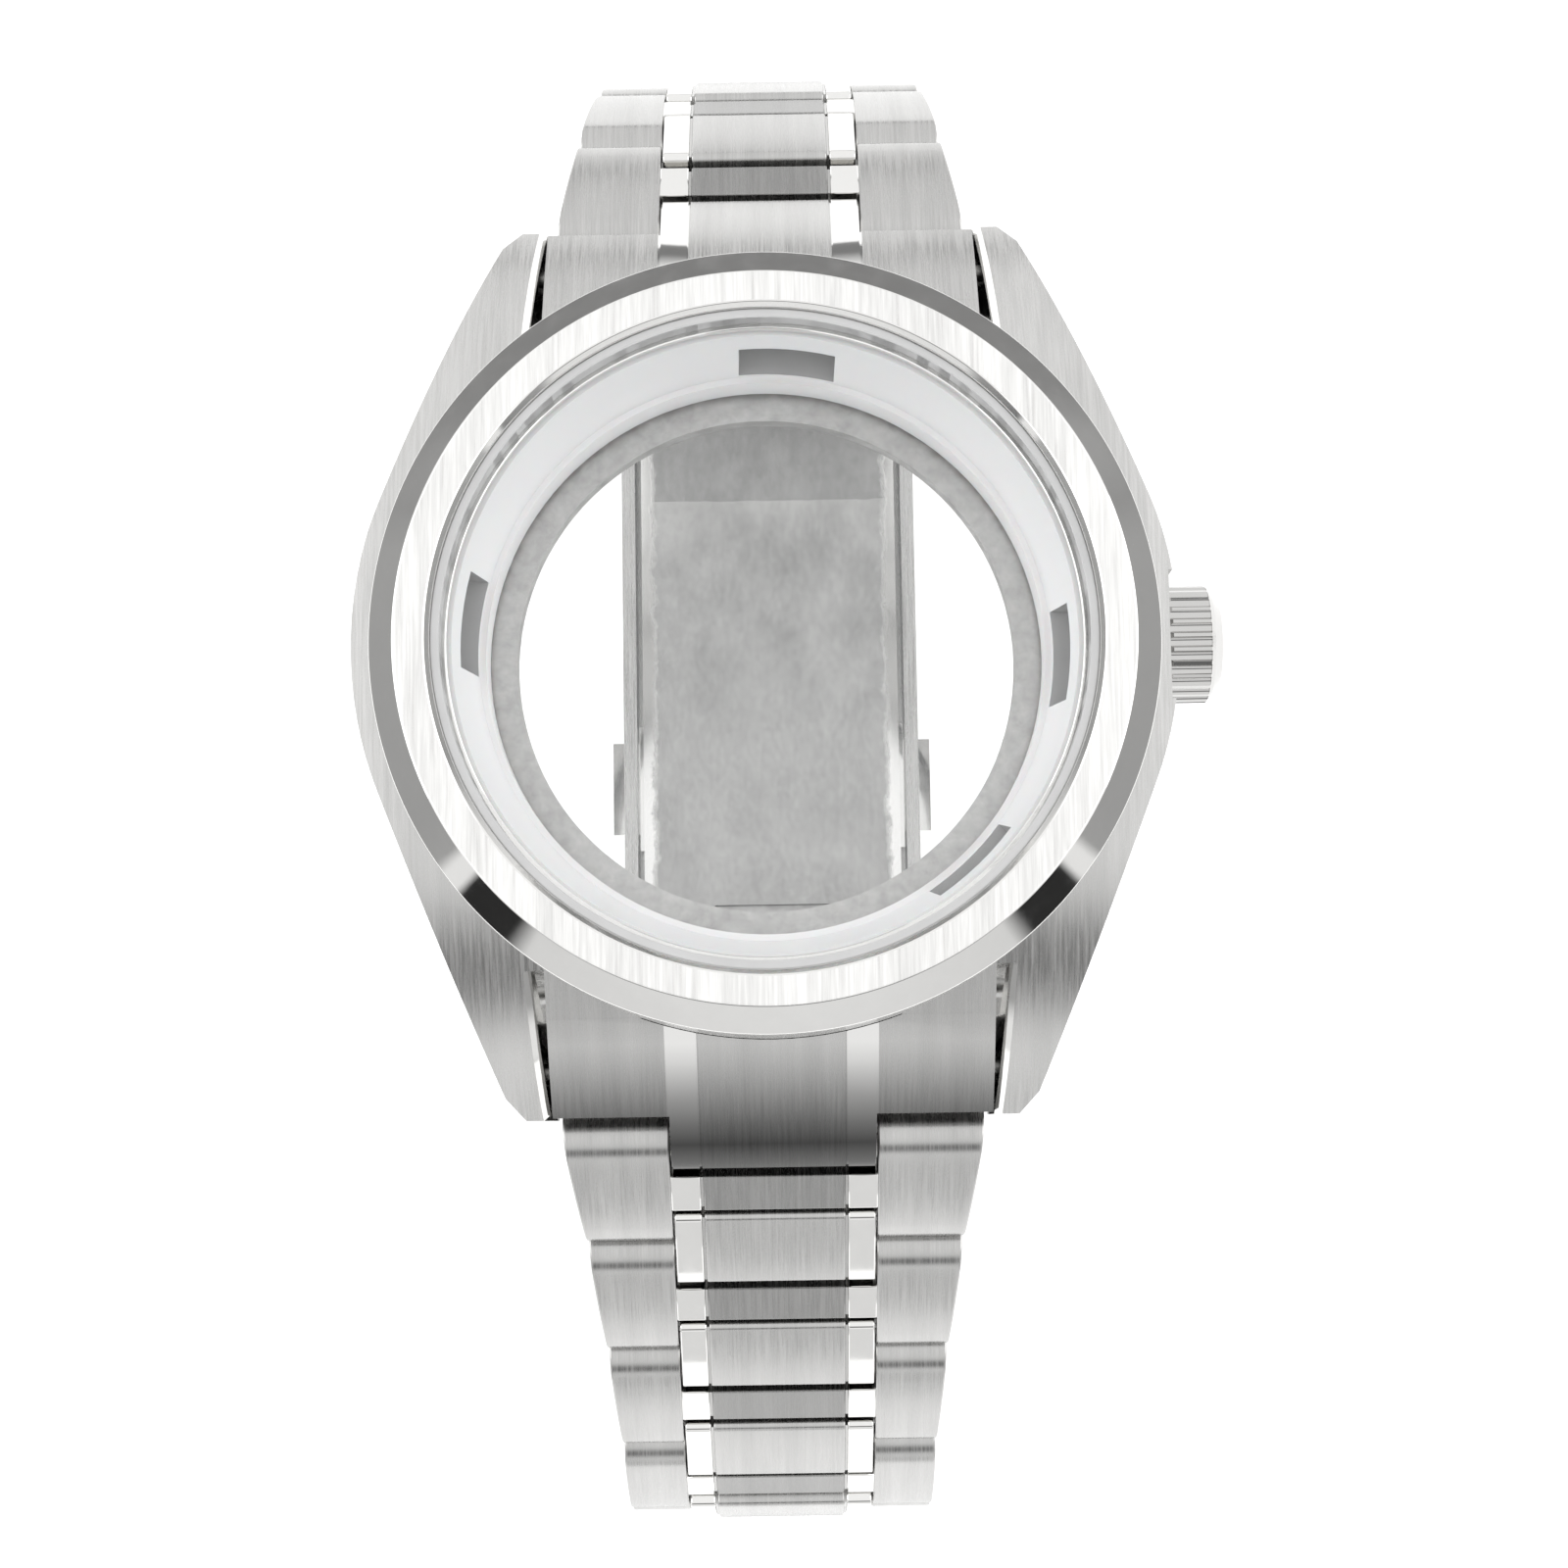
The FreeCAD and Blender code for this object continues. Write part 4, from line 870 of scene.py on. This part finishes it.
    def make_end_link(self, mark: str, side: int) -> None:
        """An end link, with its side panels carried on to the round wall of the case.

        Args:
            mark: 12 or 6.
            side: 1 towards 12 o'clock, -1 towards 6.
        """
        node = "end_link_%s" % mark
        mesh = copy_of(node)
        reach = (self.panel_half - 0.1) * MM
        for vert in mesh.verts:
            if abs(vert.co.x) > reach:
                upper = any(face.normal.z > 0.3 for face in vert.link_faces)
                more = self.panel_lip if upper else self.panel_more
                vert.co.x += math.copysign(more * MM, vert.co.x)
        half = self.panel_half + self.panel_lip
        inner = math.sqrt(self.wall ** 2 - self.panel_back ** 2)
        for hand in (-1, 1):
            places = [inner + (half - inner) * step / self.panel_steps
                      for step in range(self.panel_steps + 1)]
            plan = [(place, math.sqrt(self.wall ** 2 - place ** 2)) for place in places]
            plan.append((half, self.panel_back + self.panel_lap))
            verts = [mesh.verts.new((x * hand * MM, y * side * MM,
                                     (self.panel_top + (self.panel_back - y) * self.panel_slope) * MM))
                     for x, y in plan]
            face = mesh.faces.new(verts)
            made = bmesh.ops.extrude_face_region(mesh, geom=[face], use_keep_orig=True)["geom"]
            lower = [item for item in made if isinstance(item, bmesh.types.BMVert)]
            bmesh.ops.translate(mesh, vec=(0.0, 0.0, -self.panel_depth * MM), verts=lower)
            whole = {item for vert in verts for item in vert.link_faces}
            whole |= {item for vert in lower for item in vert.link_faces}
            bmesh.ops.recalc_face_normals(mesh, faces=list(whole))
        self.shop.piece("panels_" + node, mesh, "case", [Surface.END_LINK], [node], flat_share=0.02)

    def make_holder(self) -> None:
        """The movement holder, with the walls of its slots in shade."""
        mesh = copy_of("movement_holder")
        low, high = self.slot_heights
        for face in mesh.faces:
            # The slot walls are painted grey as shade.
            if all(low * MM < vert.co.z < high * MM for vert in face.verts):
                face.material_index = SECOND
        self.shop.piece("holder_ring", mesh, "case", [Surface.HOLDER, Surface.SLOT], ["movement_holder"])

    def dress_rest(self) -> None:
        """Finishes of the nodes that stay as they are."""
        for node in ("case_back_ring", "crown_tube", "lug_spring_bars"):
            self.shop.dress(node, Surface.TURNED)
        self.shop.dress("back_glass", Surface.GLASS)
        for node in ("back_glass_gasket", "case_back_gasket", "crown_gasket"):
            self.shop.dress(node, Surface.SEAL)
        self.shop.dress("crown", Surface.CROWN)

    def make(self) -> None:
        """Make every piece of the head."""
        self.make_mid_case()
        self.make_bezel()
        self.make_glass()
        self.make_holder()
        self.make_end_link("12", 1)
        self.make_end_link("6", -1)
        self.dress_rest()


@dataclass
class Bracelet:
    """The links of both halves, in millimetres. A link is drawn along Y from its near pin, with Z outwards.

    Args:
        shop: makes the pieces.
        bar_span: from a link's near pin to its far one.
        ear_low: where its side pieces start.
        ear_high: where they end.
        inner: half the width between them.
        bottom: height of a link's wrist side.
        top: height of its outside.
        bar_low: where its short centre bar starts.
        bar_high: where that bar ends.
        strip: half the width between the polished strips.
        line: half the width of the line beside a strip.
        reach: from a pin to the end of a centre link.
        centre_span: between the two pins of a centre link.
        widths: widths of the bracelet at the first links' ends.
        side_gap: gap beside a centre link.
        knuckle: rounding of the ends on the wrist side.
        shoulders: rounding of a side piece's near and far end on the outside.
        centre_shoulders: the same of a centre link.
        ear_soft: rounding of a side piece's edges.
        row_soft: rounding of the rows' edges.
        tie_gap: how far the core of a centre lies inside its rows; its top lies 0.14 under theirs.
        pin_radius: radius of a pin.
        pin_proud: how far a pin's ends stand out.
        arch: how much lower a side piece's top is at its ends.
        arch_cuts: faces along that arch.
    """

    shop: Workshop
    bar_span: float = 5.7
    ear_low: float = -0.775
    ear_high: float = 6.475
    inner: float = 4.85
    bottom: float = -1.3
    top: float = 1.5
    bar_low: float = 1.75
    bar_high: float = 3.95
    strip: float = 3.4
    line: float = 0.06
    reach: float = 1.35
    centre_span: float = 1.8
    widths: tuple[float, ...] = (19.7, 18.0, 16.8, 16.0)
    side_gap: float = 0.08
    knuckle: float = 1.25
    shoulders: Point = (1.5, 0.7)
    centre_shoulders: Point = (0.35, 0.2)
    ear_soft: float = 0.09
    row_soft: float = 0.07
    tie_gap: float = 0.15
    pin_radius: float = 0.45
    pin_proud: float = 0.012
    arch: float = 0.3
    arch_cuts: int = 8

    def pins(self, mark: str, count: int) -> list[Vector]:
        """Pins of a half at rest, from the case to the clasp.

        Args:
            mark: 12 or 6.
            count: how many outer links the half has.

        Returns:
            The pins' places in metres.
        """
        places = {joint["child"]: Vector(joint["pos_m"]) for joint in frame["joints"] if "pos_m" in joint}
        found = []
        for number in range(1, count + 1):
            found.append(places["link_%s_%d" % (mark, number)])
            if number < count:
                found.append(places["centre_%s_%d" % (mark, number)])
        bar_low, bar_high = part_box("clasp_bar_%s" % mark)
        found.append((bar_low + bar_high) / 2)
        return found

    def lay(self, mesh: bmesh.types.BMesh, near: Vector, far: Vector, side: int) -> None:
        """Put a link's mesh on its pins.

        Args:
            mesh: the mesh, drawn with its near pin on the X axis and its length along Y.
            near: the near pin.
            far: a point further along the link.
            side: 1 towards 12 o'clock, -1 towards 6.
        """
        run = far - near
        slope = math.atan2(-run.z, run.y * side)
        turn = Matrix.Rotation(-slope, 4, "X")
        if side < 0:
            turn = Matrix.Rotation(math.pi, 4, "Z") @ turn
        bmesh.ops.transform(mesh, matrix=Matrix.Translation(near) @ turn, verts=mesh.verts)

    def rounded_block(self, mesh: bmesh.types.BMesh, low: Sequence[float], high: Sequence[float],
                      knuckle: float, shoulders: Point) -> list[bmesh.types.BMVert]:
        """Add a box whose ends are rounded, as seen from the side.

        Args:
            mesh: the mesh to add to.
            low: lowest corner.
            high: highest corner.
            knuckle: rounding of the lower ends.
            shoulders: rounding of the near and the far upper end.

        Returns:
            The corners of the rounded box.
        """
        before = set(mesh.verts)
        block(mesh, low, high)
        near, far = shoulders
        for radius, place, level in ((knuckle, low[1], low[2]), (knuckle, high[1], low[2]),
                                     (near, low[1], high[2]), (far, high[1], high[2])):
            current = [vert for vert in mesh.verts if vert not in before]
            ends = [edge for edge in edges_of(current)
                    if all(abs(vert.co.z - level * MM) < 1e-6 and abs(vert.co.y - place * MM) < 1e-6
                           for vert in edge.verts)]
            segments = 7 if radius > 1.0 else 5
            if radius > 0:
                bmesh.ops.bevel(mesh, geom=ends, offset=radius * MM, offset_type="OFFSET", affect="EDGES",
                                segments=segments, profile=0.5, material=-1)
        return [vert for vert in mesh.verts if vert not in before]

    def outer_link(self, near_width: float, far_width: float) -> bmesh.types.BMesh:
        """An outer link: two rounded side pieces and the short bar between them.

        Args:
            near_width: width at its near end.
            far_width: width at its far end.

        Returns:
            The mesh on its own pins.
        """
        mesh = bmesh.new()
        for hand in (-1, 1):
            side = self.rounded_block(mesh, (self.inner, self.ear_low, self.bottom),
                                      (near_width / 2, self.ear_high, self.top),
                                      self.knuckle, self.shoulders)
            for vert in side:
                if vert.co.x > (self.inner + 0.1) * MM:
                    share = (vert.co.y / MM - self.ear_low) / (self.ear_high - self.ear_low)
                    vert.co.x += (far_width - near_width) / 2 * share * MM
                vert.co.x *= hand
        self.arch_tops(mesh)
        bmesh.ops.recalc_face_normals(mesh, faces=mesh.faces)
        soften(mesh, self.ear_soft, sharp(40.0))
        # The short bar takes the third finish, which is painted darker as shade.
        self.add_rows(mesh, self.bar_low, self.bar_high, 0.0, (0.0, 0.0), self.inner + 0.03, THIRD)
        return mesh

    def arch_tops(self, mesh: bmesh.types.BMesh) -> None:
        """Curve the tops of an outer link along its length.

        Args:
            mesh: the link's two side pieces.
        """
        near, far = self.shoulders
        middle = (self.ear_low + self.ear_high) / 2
        half = (self.ear_high - self.ear_low) / 2
        for cut in range(1, self.arch_cuts):
            place = self.ear_low + near + (2 * half - near - far) * cut / self.arch_cuts
            bmesh.ops.bisect_plane(mesh, geom=mesh.verts[:] + mesh.edges[:] + mesh.faces[:], dist=MERGE_GAP,
                                   plane_co=(0.0, place * MM, 0.0), plane_no=(0.0, 1.0, 0.0))
        for vert in mesh.verts:
            share = (vert.co.y / MM - middle) / half
            vert.co.z -= self.arch * share ** 2 * max(vert.co.z / self.top, 0.0)

    def add_rows(self, mesh: bmesh.types.BMesh, low: float, high: float, knuckle: float,
                 shoulders: Point, half: float, finish: int = MAIN) -> None:
        """Add the three rows of a centre: a brushed block between two polished strips.

        Args:
            mesh: the mesh to add to.
            low: where the rows start along the link.
            high: where they end.
            knuckle: rounding of their lower ends.
            shoulders: rounding of their near and far upper ends.
            half: half their width.
            finish: place of the brushed block's finish in the piece's list.
        """
        start = set(mesh.faces)
        for left, right, number in ((-half, -self.strip - self.line, SECOND),
                                    (-self.strip + self.line, self.strip - self.line, finish),
                                    (self.strip + self.line, half, SECOND)):
            made = self.rounded_block(mesh, (left, low, self.bottom), (right, high, self.top),
                                      knuckle, shoulders)
            for face in {face for vert in made for face in vert.link_faces}:
                face.material_index = number
        fresh = [face for face in mesh.faces if face not in start]
        edges = {edge for face in fresh for edge in face.edges}
        soften(mesh, self.row_soft, lambda edge: edge in edges and sharp(40.0)(edge))
        tie = self.rounded_block(mesh, (-half + 0.2, low + self.tie_gap, self.bottom + self.tie_gap),
                                 (half - 0.2, high - self.tie_gap, self.top - 0.14),
                                 max(knuckle - 0.1, 0.0), (0.0, 0.0))
        bmesh.ops.recalc_face_normals(mesh, faces=list({face for vert in tie for face in vert.link_faces}))

    def add_pin_ends(self, mesh: bmesh.types.BMesh, place: float, half: float) -> None:
        """Add the two ends of a pin, which show in the link's sides.

        Args:
            mesh: the mesh to add to.
            place: where the pin is along the link.
            half: half the link's width there.
        """
        radius = self.pin_radius * MM
        made = bmesh.ops.create_cone(mesh, cap_ends=True, segments=28, radius1=radius, radius2=radius,
                                     depth=2 * (half + self.pin_proud) * MM)["verts"]
        bmesh.ops.rotate(mesh, cent=(0, 0, 0), matrix=Matrix.Rotation(math.pi / 2, 3, "Y"), verts=made)
        bmesh.ops.translate(mesh, vec=(0.0, place * MM, 0.0), verts=made)

    def make_half(self, mark: str, count: int, side: int) -> None:
        """Make all links of one half.

        Args:
            mark: 12 or 6.
            count: how many outer links it has.
            side: 1 towards 12 o'clock, -1 towards 6.
        """
        pins = self.pins(mark, count)
        for number in range(1, count + 1):
            near_width = self.widths[min(number - 1, 3)]
            far_width = self.widths[min(number, 3)]
            mesh = self.outer_link(near_width, far_width)
            for place in (0.0, self.bar_span):
                share = (place - self.ear_low) / (self.ear_high - self.ear_low)
                self.add_pin_ends(mesh, place, near_width / 2 + (far_width - near_width) / 2 * share)
            self.lay(mesh, pins[2 * number - 2], pins[2 * number - 1], side)
            name = "link_%s_%d" % (mark, number)
            self.shop.piece("outer_" + name, mesh, name, [Surface.LINK, Surface.STRIP, Surface.SHADED_BAR], [name])
            if number == count:
                continue
            mesh = bmesh.new()
            self.add_rows(mesh, -self.reach, self.centre_span + self.reach, self.knuckle,
                          self.centre_shoulders, self.inner - self.side_gap)
            self.lay(mesh, pins[2 * number - 1], pins[2 * number], side)
            name = "centre_%s_%d" % (mark, number)
            self.shop.piece("rows_" + name, mesh, name, [Surface.LINK, Surface.STRIP], [name])

    def make(self) -> None:
        """Make both halves."""
        self.make_half("12", 6, 1)
        self.make_half("6", 9, -1)


@dataclass
class Clasp:
    """The folded clasp.

    Args:
        shop: makes the materials.
    """

    shop: Workshop

    def make(self) -> None:
        """Finishes of the clasp's nodes."""
        self.shop.dress("clasp_inner_blade", Surface.BLADE)
        self.shop.dress("clasp_middle_blade", Surface.TURNED)
        self.shop.dress("clasp_cover", Surface.CASE)
        for node in ("clasp_cover_pin", "clasp_blade_pin", "clasp_bar_12", "clasp_bar_6",
                     "clasp_button_left", "clasp_button_right", "clasp_button_spring"):
            self.shop.dress(node, Surface.POLISHED)


@dataclass
class Studio:
    """Floor, lights, surroundings and camera of the photograph.

    Args:
        camera_place: where the camera is, in millimetres.
        pitch: how far it looks up from straight down, in degrees.
        roll: how far it is turned about its own axis, in degrees.
        focal_share: its focal length against its sensor's width.
        sensor: width of the sensor, in millimetres.
        floor_size: half the floor's width, in metres.
        table_glow: the floor's own light.
        panel_place: place of the right light, in metres; the left one mirrors it.
        panel_size: width of each light, in metres.
        panel_power: power of each light, in watts.
        zenith: brightness overhead.
        sides: brightness round the sides, from 12 o'clock to 6.
        card_shade: how much the black card above 6 o'clock takes away.
        backdrop: brightness that the camera itself sees round the floor.
    """

    camera_place: tuple[float, float, float] = (0.74, -21.8, 128.2)
    pitch: float = 7.1
    roll: float = 0.9
    focal_share: float = 2873.0 / 1600.0
    sensor: float = 36.0
    floor_size: float = 0.36
    table_glow: float = 0.4
    panel_place: tuple[float, float, float] = (0.62, 0.1, 0.62)
    panel_size: float = 0.7
    panel_power: float = 1.6
    zenith: float = 1.1
    sides: tuple[Point, ...] = (
        (0.0, 0.26), (0.22, 0.32), (0.3, 0.42), (0.66, 0.4), (0.715, 0.42), (0.73, 0.95), (0.755, 0.95),
        (0.765, 0.03), (0.835, 0.03), (0.86, 0.8), (1.0, 0.85))
    card_shade: float = 0.82
    backdrop: float = 0.92

    def make_floor(self) -> None:
        """A plain pale floor under the clasp."""
        mesh = bmesh.new()
        bmesh.ops.create_grid(mesh, x_segments=1, y_segments=1, size=self.floor_size)
        bmesh.ops.translate(mesh, vec=(0.0, 0.0, CAD_BOX[0][2] - FLOOR_GAP), verts=mesh.verts)
        data = bpy.data.meshes.new("floor")
        mesh.to_mesh(data)
        mesh.free()
        floor = bpy.data.objects.new("floor", data)
        bpy.context.scene.collection.objects.link(floor)
        recipe = Recipe("floor_white")
        recipe.feed("Base Color", (0.9, 0.9, 0.9, 1.0))
        recipe.feed("Roughness", 0.7)
        recipe.feed("Emission Color", (1.0, 1.0, 1.0, 1.0))
        recipe.feed("Emission Strength", self.table_glow)
        data.materials.append(recipe.material)

    def make_lights(self) -> None:
        """Two broad soft panels above the sides, turned to the watch."""
        across, along, height = self.panel_place
        for name, hand in (("left_panel", -1), ("right_panel", 1)):
            data = bpy.data.lights.new(name, "AREA")
            data.shape = "RECTANGLE"
            data.size = data.size_y = self.panel_size
            data.energy = self.panel_power
            lamp = bpy.data.objects.new(name, data)
            lamp.location = place = Vector((hand * across, along, height))
            lamp.rotation_euler = (Vector((0.0, 0.0, -0.01)) - place).to_track_quat("-Z", "Y").to_euler()
            bpy.context.scene.collection.objects.link(lamp)

    def make_world(self) -> None:
        """A white tent: bright above, grey round the sides, with black cards that the polish mirrors."""
        world = bpy.data.worlds.new("tent")
        bpy.context.scene.world = world
        world.use_nodes = True
        sky = Nodes(world.node_tree, "Background")
        direction = sky.wire("ShaderNodeTexCoord", output="Generated")
        split = sky.node("ShaderNodeSeparateXYZ", values={0: direction})
        x, y, z = (Wire(sky, split.outputs[letter]) for letter in "XYZ")
        flat = (x * x + y * y + 0.0001) ** 0.5
        towards = (0.0 - y) / flat
        sides = sky.ramp(towards * 0.5 + 0.5, self.sides)
        far = sky.ramp(0.0 - towards, [(0.5, 0.0), (0.8, 1.0)])
        above = (sky.ramp(z, [(0.0, 0.0), (0.2, 0.0), (0.36, 1.0)]) * (1 - far)
                 + sky.ramp(z + 0.1, [(0.04, 0.0), (0.12, 1.0)]) * far)
        near = sky.ramp(towards, [(0.5, 0.0), (0.68, 1.0)])
        card = sky.ramp(z, [(0.5, 0.0), (0.6, 1.0), (0.76, 1.0), (0.86, 0.0)])
        light = sides * (1 - above) + above * self.zenith
        light = light * (1 - near * card * self.card_shade)
        seen = sky.wire("ShaderNodeLightPath", output="Is Camera Ray")
        light = light * (1 - seen) + seen * self.backdrop
        sky.feed("Color", sky.wire("ShaderNodeCombineColor", values={0: light, 1: light, 2: light}))
        sky.feed("Strength", 1.0)

    def make_camera(self) -> None:
        """The camera at the photograph's place."""
        data = bpy.data.cameras.new("photo_camera")
        data.sensor_fit = "HORIZONTAL"
        data.sensor_width = self.sensor
        data.lens = self.focal_share * self.sensor
        data.clip_start = 0.005
        data.clip_end = 20.0
        camera = bpy.data.objects.new("photo_camera", data)
        turn = Matrix.Rotation(math.radians(self.pitch), 4, "X") @ Matrix.Rotation(
            math.radians(-self.roll), 4, "Z")
        camera.matrix_world = Matrix.Translation(Vector(self.camera_place) * MM) @ turn
        bpy.context.scene.collection.objects.link(camera)
        bpy.context.scene.camera = camera
        bpy.context.scene.view_settings.view_transform = "Standard"

    def make(self) -> None:
        """Make the whole studio."""
        self.make_camera()
        self.make_floor()
        self.make_lights()
        self.make_world()


def main() -> None:
    """Build the studio and every piece."""
    logging.basicConfig(level=logging.INFO, format="%(message)s")
    shop = Workshop()
    Studio().make()
    Head(shop).make()
    Bracelet(shop).make()
    Clasp(shop).make()


if __name__ == "__main__":
    main()
